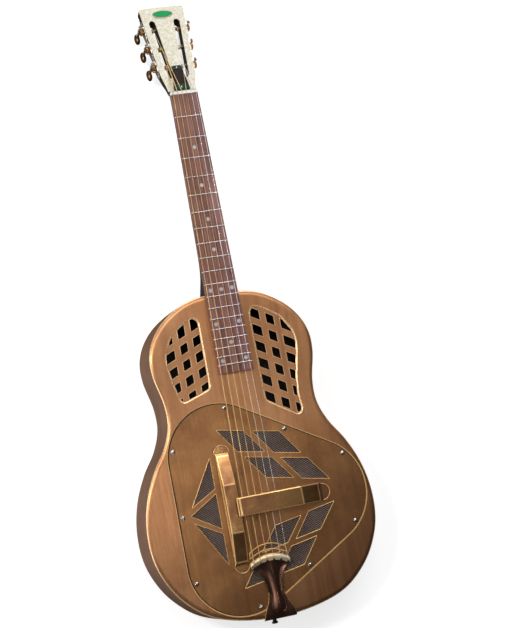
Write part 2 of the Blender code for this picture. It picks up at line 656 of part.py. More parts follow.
def face_up(mesh):
    """Turn an open sheet so that most of it faces +Z."""
    if sum(polygon.normal.z * polygon.area for polygon in mesh.polygons) < 0:
        mesh.flip_normals()


def build_hand_rest():
    stations = [(-along, half, top, edge) for along, half, top, edge in reversed(LONG_BAR_HALF[1:])]
    rest_bar("handrest_long", stations + LONG_BAR_HALF,
             lambda along, across, z: (LONG_BAR_X + across, along, z), REST_BRASS)
    rest_bar("handrest_cross", CROSS_BAR_STATIONS, lambda along, across, z: (along, across, z), REST_BRASS)


# ---- neck ---------------------------------------------------------------------------------------
def head_frame():
    """An empty at the nut whose XY plane is the face of the head."""
    frame = bpy.data.objects.new("head_frame", None)
    PARTS.objects.link(frame)
    frame.location = (0, NUT_Y, BODY_DEPTH)
    frame.rotation_euler = (-HEAD_TILT, 0, 0)
    return frame


def head_matrix():
    return Matrix.Translation((0, NUT_Y, BODY_DEPTH)) @ Matrix.Rotation(-HEAD_TILT, 4, "X")


def neck_section(half, depth, squareness):
    """A flat top edge and a rounded belly, from the treble edge to the bass edge."""
    section = []
    for i in range(NECK_SIDES + 1):
        angle = math.pi * i / NECK_SIDES
        across, down = math.cos(angle), math.sin(angle)
        x = half * math.copysign(abs(across) ** (2 / squareness), across)
        section.append((x, -depth * abs(down) ** (2 / squareness)))
    return section


def board_half(y):
    share = (NUT_Y - y) / (NUT_Y - BOARD_END_Y)
    return BOARD_HALF_AT_NUT + share * (BOARD_HALF_AT_END - BOARD_HALF_AT_NUT)


def stadium(start, end, half, steps=4):
    """A slot outline with round ends between two points."""
    start, end = Vector(start), Vector(end)
    heading = math.atan2((end - start).y, (end - start).x)
    loop = []
    for centre, base in ((end, heading - math.pi / 2), (start, heading + math.pi / 2)):
        for step in range(steps + 1):
            angle = base + math.pi * step / steps
            loop.append((centre.x + half * math.cos(angle), centre.y + half * math.sin(angle)))
    return loop


def head_slots():
    loops = []
    for side in (-1, 1):
        (low, low_x), (high, high_x) = SLOT_ENDS
        loops.append(stadium((side * low_x, low + SLOT_HALF), (side * high_x, high - SLOT_HALF), SLOT_HALF))
    return loops


def tuner_matrix(side):
    """The tuner frame of one side on the head: x outward, y along the side to the tip, z out of the face."""
    reach = POST_DISTANCES[1]
    half = HEAD_HALF_AT_START + HEAD_SIDE_SLOPE * (reach - HEAD_SIDE_START)
    origin = Matrix.Translation((side * half, reach, -POST_DEPTH))
    return origin @ Matrix.Rotation(-side * math.atan(HEAD_SIDE_SLOPE), 4, "Z")


def build_neck(frame):
    place_head = head_matrix()
    rings = []
    for y, half, depth, squareness in SHAFT_STATIONS:
        section = neck_section(half * MM, depth * MM, squareness)
        rings.append([(x, y * MM, BODY_DEPTH + z) for x, z in section])
    for along, half, depth, squareness in HEAD_STATIONS:
        section = neck_section(half * MM, depth * MM, squareness)
        top = -FACE_SHEET - GAP
        rings.append([place_head @ Vector((x, along * MM, top + z)) for x, z in section])
    neck = add("neck", loft_mesh("neck", rings), MAHOGANY)
    for number, loop in enumerate(head_slots(), 1):
        slot = plate_mesh("head_slot", [loop], -30 * MM, 10 * MM)
        boolean(neck, add_cutter("head_slot_%d_cutter" % number, slot, frame))
    for side, label in ((-1, "bass"), (1, "treble")):
        matrix = tuner_matrix(side)
        for number, reach in enumerate(POST_DISTANCES, 1):
            along = reach - POST_DISTANCES[1]
            start, end = (side * 6 * MM, along, 0), (-side * (POST_INNER_END + GAP), along, 0)
            hole = rod_mesh("post_hole", start, end, POST_RADIUS + GAP, sides=14)
            boolean(neck, add_cutter("post_hole_%s_%d_cutter" % (label, number), hole, frame, matrix))
    start, end = TRUSS_CHANNEL
    channel = box_mesh("truss_channel", (-TRUSS_HALF, start, TRUSS_FLOOR_Z), (TRUSS_HALF, end, 90 * MM))
    boolean(neck, add_cutter("truss_channel_cutter", channel))
    rod_z = TRUSS_FLOOR_Z + TRUSS_RADIUS + GAP
    start, end = TRUSS_ROD
    rod = rod_mesh("truss_rod", (0, start, rod_z), (0, end, rod_z), TRUSS_RADIUS, sides=10)
    add("truss_rod", rod, STEEL_WIRE)


def build_head_face(frame):
    """The pearloid face sheet, the badge and the cover of the truss-rod pocket."""
    outline = [(half * MM, along * MM) for along, half, _, _ in HEAD_STATIONS[:4]] + scaled(HEAD_TIP)
    loop = outline + [(-x, y) for x, y in reversed(outline)]
    pocket = scaled([(-4, 12), (4, 12), (4, 27), (-4, 27)])
    mesh = plate_mesh("headplate", [loop] + head_slots() + [pocket], -FACE_SHEET, 0)
    add("headplate", mesh, PEARLOID, frame)
    badge = [(x, y * 0.4) for x, y in circle((0, 0), 16 * MM, 28)]
    obj = add("head_badge", plate_mesh("head_badge", [badge], GAP, GAP + 0.9 * MM), GREEN, frame)
    obj.location = (0, 145.6 * MM, 0)
    cover = rounded_loop(scaled([(-13, 8.2), (13, 8.2), (7.8, 51.5), (-7.8, 51.5)]), 2.5 * MM)
    add("truss_rod_cover", plate_mesh("truss_rod_cover", [cover], GAP, GAP + 1.4 * MM), BLACK, frame)


def build_nut():
    low, high = BODY_DEPTH + GAP, NUT_TOP_Z
    mesh = box_mesh("nut", (-21.4 * MM, NUT_Y, low), (21.4 * MM, NUT_Y + NUT_LENGTH, high), bevel=0.7 * MM)
    add("nut", mesh, BONE)


def build_fretboard():
    """The board's side view, with a low ridge for each fret, drawn once and widened towards the body."""
    profile = [(BOARD_END_Y, BODY_DEPTH + GAP), (BOARD_END_Y, BOARD_TOP_Z)]
    for number in range(FRET_COUNT, 0, -1):
        y = NUT_Y - SCALE_LENGTH * (1 - 2 ** (-number / 12))
        half = FRET_WIDTH / 2
        profile += [(y - half, BOARD_TOP_Z), (y - half * 0.6, BOARD_TOP_Z + FRET_HEIGHT),
                    (y + half * 0.6, BOARD_TOP_Z + FRET_HEIGHT), (y + half, BOARD_TOP_Z)]
    profile += [(NUT_Y - GAP, BOARD_TOP_Z), (NUT_Y - GAP, BODY_DEPTH + GAP)]
    mesh = plate_mesh("fretboard", [profile], -1, 1)
    mesh.transform(Matrix(((0, 0, 1, 0), (1, 0, 0, 0), (0, 1, 0, 0), (0, 0, 0, 1))))
    for vert in mesh.vertices:
        vert.co.x *= board_half(vert.co.y)
    add("fretboard", mesh, ROSEWOOD)


# ---- tuners -------------------------------------------------------------------------------------
def build_tuner_plate(name, side, frame):
    """A strip with round lobes on the head's side, with two ears round each worm shaft."""
    matrix = tuner_matrix(side)
    outline = []
    post_pitch = POST_DISTANCES[1] - POST_DISTANCES[0]
    for edge in (1, -1):
        for step in range(TUNER_PLATE_STEPS + 1):
            y = edge * TUNER_PLATE_HALF * (2 * step / TUNER_PLATE_STEPS - 1)
            ripple = TUNER_PLATE_RIPPLE * math.cos(2 * math.pi * y / post_pitch)
            taper = math.sqrt(max(0.0, 1 - (y / TUNER_PLATE_HALF) ** 8))
            rise = TUNER_PLATE_HEIGHT - TUNER_PLATE_END + ripple
            outline.append((y, -edge * (TUNER_PLATE_END + rise * taper)))
    strip = plate_mesh(name, [outline], GAP, GAP + TUNER_PLATE_SHEET)
    turn = Matrix(((0, 0, side, 0), (1, 0, 0, 0), (0, 1, 0, 0), (0, 0, 0, 1)))
    strip.transform(turn)
    if side < 0:
        strip.flip_normals()
    plate = add(name, strip, ANTIQUE, frame, matrix)
    face = GAP + TUNER_PLATE_SHEET
    for number, reach in enumerate(POST_DISTANCES, 1):
        along = reach - POST_DISTANCES[1]
        label = "%s_%d" % (name, number)
        middle = along + WORM_OFFSET
        near, far = sorted((side * (face - 0.6 * MM), side * EAR_REACH))
        for ear, z in enumerate(EAR_HEIGHTS, 1):
            mesh = box_mesh("ear", (near, middle - EAR_HALF, z), (far, middle + EAR_HALF, z + EAR_THICKNESS))
            boolean(plate, add_cutter("%s_ear_%d" % (label, ear), mesh, frame, matrix), "UNION")
        x = side * WORM_STANDOFF
        worm_hole = rod_mesh("worm_hole", (x, middle, -12 * MM), (x, middle, 12 * MM), WORM_HOLE_RADIUS,
                             sides=10)
        boolean(plate, add_cutter(label + "_worm_hole", worm_hole, frame, matrix))
        post_hole = rod_mesh("plate_hole", (-side * 2 * MM, along, 0), (side * 4 * MM, along, 0),
                             POST_RADIUS + GAP, sides=14)
        boolean(plate, add_cutter(label + "_post_hole", post_hole, frame, matrix))


def build_post(name, side, along, frame):
    """A string post, its worm wheel outside the plate and the wheel's screw, about the post's axis."""
    matrix = tuner_matrix(side)
    wheel_low, wheel_high = WHEEL_RANGE
    length = POST_INNER_END
    profile = [(0, wheel_high + 1 * MM), (2.2 * MM, wheel_high + 0.7 * MM), (2.6 * MM, wheel_high),
               (WHEEL_RADIUS, wheel_high - 0.01 * MM), (WHEEL_RADIUS, wheel_low),
               (POST_RADIUS, wheel_low - 0.01 * MM), (POST_RADIUS, -length), (0, -length)]
    mesh = turned_mesh(name, profile, 12)
    outward = Matrix.Rotation(side * math.pi / 2, 4, "Y")
    add(name, mesh, ANTIQUE, frame, matrix @ Matrix.Translation((0, along, 0)) @ outward)


def build_button(name, side, along, frame):
    """A worm shaft with its flat oval button behind the head, about the shaft's axis."""
    matrix = tuner_matrix(side)
    half_x, half_y, half_z = BUTTON_HALF
    sides = 10
    outlines = [(radius * MM, radius * MM, z * MM) for z, radius in WORM_SHAFT]
    for degrees in (65, 35, 0, -35, -70):
        share = math.cos(math.radians(degrees))
        z = BUTTON_CENTRE + half_z * math.sin(math.radians(degrees))
        outlines.append((half_x * share, half_y * share, z))
    rings = []
    for reach_x, reach_y, z in outlines:
        rings.append([(x * reach_x, y * reach_y, z) for x, y in circle((0, 0), 1, sides)])
    mesh = loft_mesh(name, rings)
    where = Matrix.Translation((side * WORM_STANDOFF, along + WORM_OFFSET, 0))
    add(name, mesh, ANTIQUE, frame, matrix @ where)


def build_tuners(frame):
    for side, label in ((-1, "bass"), (1, "treble")):
        build_tuner_plate("tuner_plate_" + label, side, frame)
    for string, post in enumerate(STRING_POSTS, 1):
        side = -1 if string <= 3 else 1
        along = POST_DISTANCES[post] - POST_DISTANCES[1]
        build_post("string_post_%d" % string, side, along, frame)
        build_button("tuner_button_%d" % string, side, along, frame)


# ---- strings and tailpiece ----------------------------------------------------------------------
def comb_y(x):
    """The front edge of the tailpiece's comb, curved towards the neck."""
    return (TAIL_ROWS[0][0] - TAIL_ROWS[0][5] * (x / (TAIL_ROWS[0][1] * MM)) ** 2) * MM


def tail_lean(y):
    """Sideways shift of the tailpiece at y."""
    share = (y - TAIL_Y) / (COMB_Y - TAIL_Y)
    return -(LEAN_AT_TAIL + share * (LEAN_AT_COMB - LEAN_AT_TAIL))


def string_lean(y):
    """Sideways shift of the strings, none at the nut and the tailpiece's at the comb."""
    return -LEAN_AT_COMB * (NUT_Y - y) / (NUT_Y - COMB_Y)


def build_strings():
    place_head = head_matrix()
    for string in range(STRING_COUNT):
        share = string / (STRING_COUNT - 1) - 0.5
        radius = STRING_RADII[string]
        side = -1 if share < 0 else 1
        post = STRING_POSTS[string]
        saddle_x, nut_x = share * STRING_SPREAD_SADDLE, share * STRING_SPREAD_NUT
        (low, low_x), (high, high_x) = SLOT_ENDS
        slot_x = low_x + (high_x - low_x) * (POST_DISTANCES[post] - low) / (high - low)
        on_head = Vector((side * (slot_x + STRING_POST_OFFSETS[post]), POST_DISTANCES[post],
                          -POST_DEPTH + POST_RADIUS + GAP + radius))
        comb = comb_y(saddle_x) + GAP + STRING_CATCH
        points = [(saddle_x + string_lean(comb), comb, STRING_COMB_Z),
                  (saddle_x + string_lean(0), 0, SADDLE_TOP_Z + GAP + radius),
                  (nut_x, NUT_Y + NUT_LENGTH, NUT_TOP_Z + GAP + radius),
                  tuple(place_head @ on_head)]
        mat = PHOSPHOR if string < 4 else STEEL_WIRE
        add("string_%d" % (string + 1), wire_mesh("string", points, radius, resolution=1), mat)


def ridge_height(across, half, ridge_half, top, edge):
    """A rounded ridge in the middle of a row, running down to its edges."""
    x = abs(across) * half
    if x >= ridge_half:
        return edge
    return edge + (top - edge) * math.cos(math.pi / 2 * (x / ridge_half) ** 2)


def wire_run(y, half, sign):
    """One rod of the wire, bent like the comb's front edge."""
    run = []
    for step in range(9):
        across = sign * (-1 + step / 4)
        run.append((across * half * MM + tail_lean(y * MM), (y - WIRE_ARC * across ** 2) * MM,
                    (WIRE_Z - WIRE_DROP * across ** 2) * MM))
    return run


def build_tailpiece(strap_cutter):
    rows = []
    for y, half, ridge_half, top, edge, arc in TAIL_ROWS:
        row = []
        for across in TAIL_COLUMNS:
            z = ridge_height(across, half, ridge_half, top, edge)
            row.append((across * half * MM + tail_lean(y * MM), (y - arc * across ** 2) * MM, z * MM))
        rows.append(row)
    tail = add("tailpiece", loft_mesh("tailpiece", rows, cyclic=False, capped=False), DARK_METAL)
    face_up(tail.data)
    solidify(tail, TAIL_SHEET)

    rows = [[(across * half * MM + tail_lean(y * MM), y * MM, z * MM) for across in BRACKET_COLUMNS]
            for y, z, half in BRACKET_ROWS]
    bracket = add("tail_bracket", loft_mesh("tail_bracket", rows, cyclic=False, capped=False), DARK_METAL)
    face_up(bracket.data)
    solidify(bracket, TAIL_SHEET)
    boolean(bracket, strap_cutter)
    pin_x = tail_lean(HINGE_PIN_Y)
    start, end = [(pin_x + sign * HINGE_PIN_HALF, HINGE_PIN_Y, HINGE_PIN_Z) for sign in (-1, 1)]
    add("tail_hinge_pin", rod_mesh("tail_hinge_pin", start, end, HINGE_PIN_RADIUS, sides=10), ANTIQUE)
    loop = []
    for y, half, sign in WIRE_RODS:
        loop += wire_run(y, half, sign)
    wire = wire_mesh("tailpiece_wire", loop, WIRE_RADIUS, closed=True, resolution=1)
    add("tailpiece_wire", wire, REST_BRASS)

    button = turned_mesh("strap_button", scaled(STRAP_PROFILE), 12)
    outward = Matrix.Translation((0, TAIL_Y - GAP, STRAP_Z)) @ Matrix.Rotation(math.pi / 2, 4, "X")
    add("strap_button", button, BLACK, matrix=outward)


def build_guitar():
    frame = head_frame()
    strap_cutter = build_body()
    for name, loop in grille_loops().items():
        bass = name.startswith("bass")
        build_grille(name, loop, BASS_LATTICE if bass else TREBLE_LATTICE, -1 if bass else 1)
    build_soundwell()
    build_cones()
    build_bridge()
    build_cover()
    build_hand_rest()
    build_neck(frame)
    build_head_face(frame)
    build_nut()
    build_fretboard()
    build_tuners(frame)
    build_strings()
    build_tailpiece(strap_cutter)


build_guitar()
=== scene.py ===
"""Three-cone resonator guitar: the looks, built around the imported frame.

The frame's axes are kept: +X to the treble side, +Y to the headstock, +Z out of the top.
Shapes are written in millimetres and scaled to metres when a piece is made.
"""
import math
from contextlib import contextmanager

import bmesh
import bpy
import numpy as np
from mathutils import Matrix, Vector


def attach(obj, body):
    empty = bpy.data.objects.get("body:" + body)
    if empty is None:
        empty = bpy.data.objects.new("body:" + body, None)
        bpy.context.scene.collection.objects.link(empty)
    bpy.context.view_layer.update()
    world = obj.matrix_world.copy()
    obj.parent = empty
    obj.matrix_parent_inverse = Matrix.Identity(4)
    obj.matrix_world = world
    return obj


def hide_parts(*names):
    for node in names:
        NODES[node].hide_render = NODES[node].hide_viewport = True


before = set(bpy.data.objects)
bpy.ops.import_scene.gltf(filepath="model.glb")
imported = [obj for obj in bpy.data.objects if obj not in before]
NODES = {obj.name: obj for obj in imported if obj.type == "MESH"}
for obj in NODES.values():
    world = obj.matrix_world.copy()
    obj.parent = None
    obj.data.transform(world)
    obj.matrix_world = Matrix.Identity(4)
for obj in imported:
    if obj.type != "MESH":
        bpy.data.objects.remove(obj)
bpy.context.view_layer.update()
GUITAR = "guitar"
MM = 0.001

# ---- dimensions shared with the frame, in millimetres -------------------------------------------
DEPTH = 80
SCALE = 635
NUT_Y = 637
GAP = 0.3
RIM = 4
BODY_HALF = [(0, -171), (62, -164.5), (110, -148), (146, -117), (168, -81), (178, -45), (178, -3), (169, 37),
             (152, 74), (131, 106), (119, 138), (119, 172), (128, 214), (127, 247), (113, 277), (87, 302),
             (50, 320), (0, 325)]
CONES = [(-47, 78), (-47, -78), (88, 0)]
CONE_BISECTORS = [120, 240, 0]
CONE_NODES = ["cone_bass_upper", "cone_bass_lower", "cone_treble"]
SCREW_MARGIN = 75
SCREW_TURN = 44
COVER_LOW, COVER_HIGH = 80.3, 81.5
GAUZE_TURN = math.radians(41.1)
PANES = [[(-48, 119.7), (-5.6, 112.3), (21.6, 74.9), (-20.7, 82.2)],
         [(7.2, 109.2), (49.5, 101.8), (77.3, 63.6), (34.4, 71.4)],
         [(-12.3, 72.8), (30.7, 65.1), (58.9, 28.7), (16.2, 36.3)],
         [(43.6, 62.2), (85.4, 54.8), (114.4, 17.2), (71.2, 25.1)],
         [(-105.8, 11.4), (-65.2, 33.8), (-65.2, 80.8)]]
MIDDLE_PANE = [(-109.5, 0), (-65.2, -26.8), (-65.2, 26.8)]
SADDLE_SLOT = (36, 6)
BASS_OPENING = [(-44.5, 183), (-44, 287), (-52, 293.5), (-61, 289), (-75, 281), (-91, 267),
                (-102, 244), (-103.3, 230), (-99, 202), (-95, 184), (-92, 172), (-86, 168.5)]
TREBLE_OPENING = [(39, 290), (39, 152), (86, 122.5), (93, 128), (90.5, 152), (93, 181), (100, 213),
                  (103.3, 232), (101, 250), (86, 274), (61, 291), (46, 297)]
HEAD_TILT = math.radians(14)
HEAD_SLOPE = 0.0677
POSTS = [54.5, 88, 121.5]
STRING_POSTS = [0, 1, 2, 2, 1, 0]
POST_OFFSETS = [0, -3.2, 0.6]
STRING_RADII = [0.7, 0.57, 0.46, 0.37, 0.28, 0.25]
POST_DEPTH = 9
NUT_SPREAD = 36.5
SADDLE_SPREAD = 53
# The strings lean sideways by this much at the comb, which lies this far from the nut.
COMB_LEAN = 4.0
NUT_TO_COMB = 717
BADGE_SQUASH = 0.4
PLATE_STEPS = 72
WORM_TURNS = 5
WORM_LENGTH = 7.2


# ---- node materials -----------------------------------------------------------------------------
class Graph:
    """The node tree of a material or world, with short calls that each add a node."""

    def __init__(self, owner, main, place):
        owner.use_nodes = True
        self.nodes = owner.node_tree.nodes
        self.links = owner.node_tree.links
        self.main = self.nodes[main]
        self.place = self.nodes.new("ShaderNodeTexCoord").outputs[place]

    def node(self, kind, inputs=(), **settings):
        made = self.nodes.new(kind)
        for key, value in settings.items():
            setattr(made, key, value)
        for key, value in dict(inputs).items():
            if isinstance(value, bpy.types.NodeSocket):
                self.links.new(value, made.inputs[key])
            else:
                made.inputs[key].default_value = value
        return made

    def mapped(self, scale, turn=(0, 0, 0)):
        return self.node("ShaderNodeMapping",
                         {"Vector": self.place, "Scale": scale, "Rotation": turn}).outputs[0]

    def noise(self, vector, scale, detail=4.0, roughness=0.55, distortion=0.0):
        return self.node("ShaderNodeTexNoise", {"Vector": vector, "Scale": scale, "Detail": detail,
                                                "Roughness": roughness, "Distortion": distortion}).outputs[0]

    def ramp(self, factor, stops):
        made = self.node("ShaderNodeValToRGB", {"Fac": factor})
        ramp = made.color_ramp
        while len(ramp.elements) < len(stops):
            ramp.elements.new(0.5)
        for element, (position, color) in zip(ramp.elements, stops):
            element.position = position
            element.color = (*color, 1)
        return made.outputs[0]

    def range(self, value, low, high, to_low, to_high):
        return self.node("ShaderNodeMapRange", {"Value": value, "From Min": low, "From Max": high,
                                                "To Min": to_low, "To Max": to_high}).outputs[0]

    def math(self, operation, a, b=0.0):
        return self.node("ShaderNodeMath", {0: a, 1: b}, operation=operation).outputs[0]

    def split(self, vector):
        return self.node("ShaderNodeSeparateXYZ", {0: vector}).outputs

    def weighted(self, *terms):
        """The sum of sockets, each times its weight."""
        total, *others = (self.math("MULTIPLY", socket, weight) for socket, weight in terms)
        for other in others:
            total = self.math("ADD", total, other)
        return total

    def wave(self, value, pitch):
        """A sine along a length, its pitch in millimetres."""
        return self.math("SINE", self.math("MULTIPLY", value, 2 * math.pi / (pitch * MM)))

    def mix(self, factor, a, b):
        made = self.node("ShaderNodeMix", {"Factor": factor}, data_type="RGBA")
        for socket, value in ((made.inputs[6], a), (made.inputs[7], b)):
            if isinstance(value, bpy.types.NodeSocket):
                self.links.new(value, socket)
            else:
                socket.default_value = (*value, 1)
        return made.outputs[2]

    def feed(self, key, socket):
        self.links.new(socket, self.main.inputs[key])


class Shader(Graph):
    """A Principled material."""

    def __init__(self, name, color, roughness, metallic=0.0, **extra):
        self.mat = bpy.data.materials.new(name)
        super().__init__(self.mat, "Principled BSDF", "Object")
        extra.update(Base_Color=(*color, 1), Roughness=roughness, Metallic=metallic)
        for key, value in extra.items():
            self.main.inputs[key.replace("_", " ")].default_value = value

    def color(self, factor, *stops):
        self.feed("Base Color", self.ramp(factor, stops))

    def rough(self, value, low, high, to_low, to_high):
        self.feed("Roughness", self.range(value, low, high, to_low, to_high))

    def bump(self, height, strength, distance):
        inputs = {"Height": height, "Strength": strength, "Distance": distance * MM}
        self.feed("Normal", self.node("ShaderNodeBump", inputs).outputs[0])


def scaled(values, share):
    return tuple(value * share for value in values)


def brushed(name, deep, mid, light, rough=(0.3, 0.46), grain=(900, 14, 900), patina=9.0, bump=0.25,
            pull=0.55, metallic=0.86, shade=0.0):
    """Brushed plated sheet with a cloudy patina, and painted shade that deepens to the tail and treble."""
    s = Shader(name, mid, 0.4, metallic, Anisotropic=pull)
    s.feed("Tangent", s.node("ShaderNodeCombineXYZ", {0: 1.0, 1: 0.0, 2: 0.0}).outputs[0])
    fine = s.noise(s.mapped(grain), 1.0, 3.0, 0.6)
    broad = s.noise(s.mapped(scaled(grain, 0.16)), 1.0, 4.0, 0.6)
    cloud = s.noise(s.place, patina, 5.0, 0.6, 0.4)
    fleck = s.noise(s.place, patina * 16, 3.0, 0.7)
    tone = s.weighted((cloud, 0.66), (broad, 0.22), (fleck, 0.12))
    base = s.ramp(tone, [(0.3, deep), (0.5, mid), (0.68, light)])
    base = s.mix(s.range(fine, 0.3, 0.7, 0.0, 0.22), base, scaled(mid, 0.62))
    # Painted shade: the colour is darkened towards the tail and the treble side, by up to the shade share.
    x, y, _ = s.split(s.place)
    painted_shade_slant = s.math("SUBTRACT", s.math("MULTIPLY", x, 2.2), s.math("MULTIPLY", y, 1.7))
    s.feed("Base Color", s.mix(s.range(painted_shade_slant, 0.0, 0.5, 0.0, shade), base, scaled(deep, 0.4)))
    s.rough(s.math("ADD", fine, broad), 0.7, 1.35, *rough)
    s.bump(fine, bump, 0.05)
    return s.mat


def satin(name, deep, mid, light, metallic=0.88):
    """Rubbed plate: soft clouds of tone and gloss, with no grain."""
    s = Shader(name, mid, 0.3, metallic)
    cloud = s.noise(s.place, 26, 3.0, 0.5, 0.3)
    speck = s.noise(s.place, 420, 3.0, 0.6)
    s.color(s.weighted((cloud, 0.85), (speck, 0.15)), (0.36, deep), (0.5, mid), (0.64, light))
    s.rough(cloud, 0.35, 0.65, 0.34, 0.22)
    return s.mat


def plain_metal(name, color, rough, speckle=260, depth=0.25, metallic=1.0):
    """Small fittings: a cast or drawn surface with fine handling marks."""
    s = Shader(name, color, rough, metallic)
    grit = s.noise(s.place, speckle, 4.0, 0.65)
    smear = s.noise(s.place, speckle * 0.13, 4.0, 0.6)
    s.color(smear, (0.35, scaled(color, 1 - depth)), (0.62, color))
    s.rough(grit, 0.3, 0.7, rough * 0.75, rough * 1.3)
    s.bump(grit, 0.12, 0.04)
    return s.mat


COPPER = brushed("brushed_copper", (0.36, 0.155, 0.066), (0.55, 0.255, 0.113), (0.70, 0.35, 0.165),
                 shade=0.74)
COPPER_SIDE = brushed("copper_side", (0.32, 0.14, 0.065), (0.50, 0.235, 0.115), (0.66, 0.33, 0.16),
                      grain=(30, 30, 900), pull=0.0, shade=0.45)
# Painted highlight: pale copper on the rolled rims and the openings' rolled edges, where the light catches
# them.
COPPER_HIGHLIGHT = plain_metal("copper_painted_highlight", (0.95, 0.62, 0.34), 0.28, 260, 0.15, 0.5)
BRONZE = brushed("cover_bronze", (0.20, 0.086, 0.034), (0.36, 0.165, 0.064), (0.52, 0.25, 0.098), patina=14.0,
                 rough=(0.32, 0.48), bump=0.2, shade=0.6)
# Pale gold: the wire loop's own colour, and elsewhere a painted highlight on edges, lips, feet and beads.
GOLD_TRIM_AND_HIGHLIGHT = plain_metal("gold_trim_and_painted_highlight", (0.90, 0.53, 0.20), 0.28, 260, 0.15, 0.38)
# Painted highlight along the lattice strips' upper edges.
LATTICE_HIGHLIGHT = plain_metal("lattice_painted_highlight", (0.95, 0.66, 0.38), 0.3, 260, 0.1, 0.35)
REST = satin("rest_brass", (0.21, 0.094, 0.042), (0.31, 0.148, 0.06), (0.44, 0.236, 0.086))
# Painted highlight: a lighter copy of the rest's brass on its round shoulders and bends.
REST_HIGHLIGHT = satin("rest_painted_highlight", (0.62, 0.35, 0.14), (0.78, 0.47, 0.19), (0.92, 0.60, 0.27), metallic=0.7)
# Painted shade: near black for the inside of the closed body, on the shell's inner faces and the soundwell
# pan.
CAVITY_SHADE = plain_metal("cavity_painted_shade", (0.05, 0.032, 0.022), 0.7, metallic=0.4)
DARK = brushed("dark_bronze", (0.10, 0.046, 0.033), (0.18, 0.085, 0.058), (0.28, 0.14, 0.09), patina=40.0,
               grain=(300, 60, 300), rough=(0.2, 0.32), bump=0.05, pull=0.0, metallic=0.95)
# Painted highlight: the comb's brass lightened to a bright band.
COMB_HIGHLIGHT = satin("comb_brass_highlight", (0.80, 0.60, 0.34), (0.95, 0.80, 0.55), (0.99, 0.93, 0.80), metallic=0.55)
ANTIQUE = plain_metal("antique_brass", (0.30, 0.215, 0.14), 0.36, 420, 0.4)
AMBER = plain_metal("amber_brass", (0.62, 0.33, 0.10), 0.3, 300, 0.5)
BUTTON = plain_metal("button_bronze", (0.40, 0.20, 0.085), 0.24, 120, 0.5)
SCREW = plain_metal("screw_steel", (0.62, 0.6, 0.58), 0.2, 300, 0.3)
FRET_METAL = plain_metal("nickel_silver", (0.46, 0.42, 0.43), 0.24, 300, 0.3)
STEEL = plain_metal("steel_wire", (0.88, 0.87, 0.87), 0.3, 500, 0.15)
# Painted shadow: the dark line round the coverplate and the dark rings round the hand rest's feet.
SHADOW_LINE = plain_metal("painted_shadow_line", (0.03, 0.018, 0.012), 0.6, 300, 0.3, 0.3)
STRAP_BLACK = plain_metal("strap_black", (0.02, 0.018, 0.018), 0.28, 200, 0.3, 0.0)
BALL = plain_metal("ball_end", (0.012, 0.01, 0.01), 0.45, 400, 0.3, 0.0)


def engraved():
    """Tuner plates: dark ground with lighter scattered engraving."""
    s = Shader("engraved_plate", (0.2, 0.16, 0.12), 0.42, 1.0)
    cells = s.node("ShaderNodeTexVoronoi", {"Vector": s.place, "Scale": 330.0}).outputs[0]
    curl = s.noise(s.place, 700, 3.0, 0.7, 1.6)
    mark = s.weighted((cells, 0.7), (curl, 0.7))
    s.color(mark, (0.42, (0.035, 0.026, 0.022)), (0.56, (0.14, 0.105, 0.085)), (0.74, (0.78, 0.72, 0.64)))
    s.rough(mark, 0.3, 0.8, 0.5, 0.28)
    s.bump(mark, 0.6, 0.18)
    return s.mat


def gauze(name, dark, light, cover, metallic):
    """Darkened wire cloth: the ribs are real, the weave between them lets the cones glint through."""
    s = Shader(name, light, 0.38, metallic)
    along, across, _ = s.split(s.mapped((1, 1, 1), (0, 0, GAUZE_TURN)))
    s.color(s.noise(s.place, 22, 4.0, 0.6), (0.3, dark), (0.7, light))
    s.bump(s.math("MULTIPLY", s.wave(along, 0.8), s.wave(across, 0.75)), 0.5, 0.12)
    s.main.inputs["Alpha"].default_value = cover
    return s.mat


def spun():
    """Spun aluminium: fine rings round the middle of the plate stretch every glint into a fan."""
    s = Shader("spun_aluminium", (0.8, 0.8, 0.82), 0.28, 1.0, Anisotropic=0.85)
    x, y, _ = s.split(s.place)
    round_axis = s.node("ShaderNodeCombineXYZ", {0: s.math("MULTIPLY", y, -1.0), 1: x, 2: 0.0}).outputs[0]
    s.feed("Tangent", s.node("ShaderNodeVectorMath", {0: round_axis}, operation="NORMALIZE").outputs[0])
    grit = s.noise(s.place, 160, 3.0, 0.6)
    s.color(grit, (0.3, (0.78, 0.78, 0.8)), (0.7, (0.95, 0.95, 0.96)))
    s.rough(grit, 0.3, 0.7, 0.24, 0.36)
    return s.mat


def wood(name, dark, mid, light, grain=(240, 7, 240), rough=(0.38, 0.55), pore=0.35, coat=0.0, shine=0.25):
    """Wood with its grain along Y and small dark pores."""
    s = Shader(name, mid, 0.5, 0.0, Coat_Weight=coat, Coat_Roughness=0.12, Specular_IOR_Level=shine)
    wander = s.noise(s.place, 6, 2.0)
    vector = s.node("ShaderNodeVectorMath", {0: s.mapped(grain), 1: s.mix(1.0, (0, 0, 0), wander)},
                    operation="ADD").outputs[0]
    line = s.noise(vector, 1.0, 6.0, 0.65, 0.25)
    pores = s.noise(s.mapped(scaled(grain, 4.2)), 1.0, 2.0, 0.5)
    base = s.ramp(line, [(0.32, dark), (0.5, mid), (0.7, light)])
    s.feed("Base Color", s.mix(s.range(pores, 0.56, 0.72, 0.0, pore * 2), base, scaled(dark, 0.45)))
    s.rough(line, 0.3, 0.7, rough[1], rough[0])
    s.bump(pores, 0.15, 0.08)
    return s.mat


ENGRAVED = engraved()
GAUZE = gauze("dark_gauze", (0.30, 0.225, 0.19), (0.46, 0.35, 0.30), 0.6, 0.6)
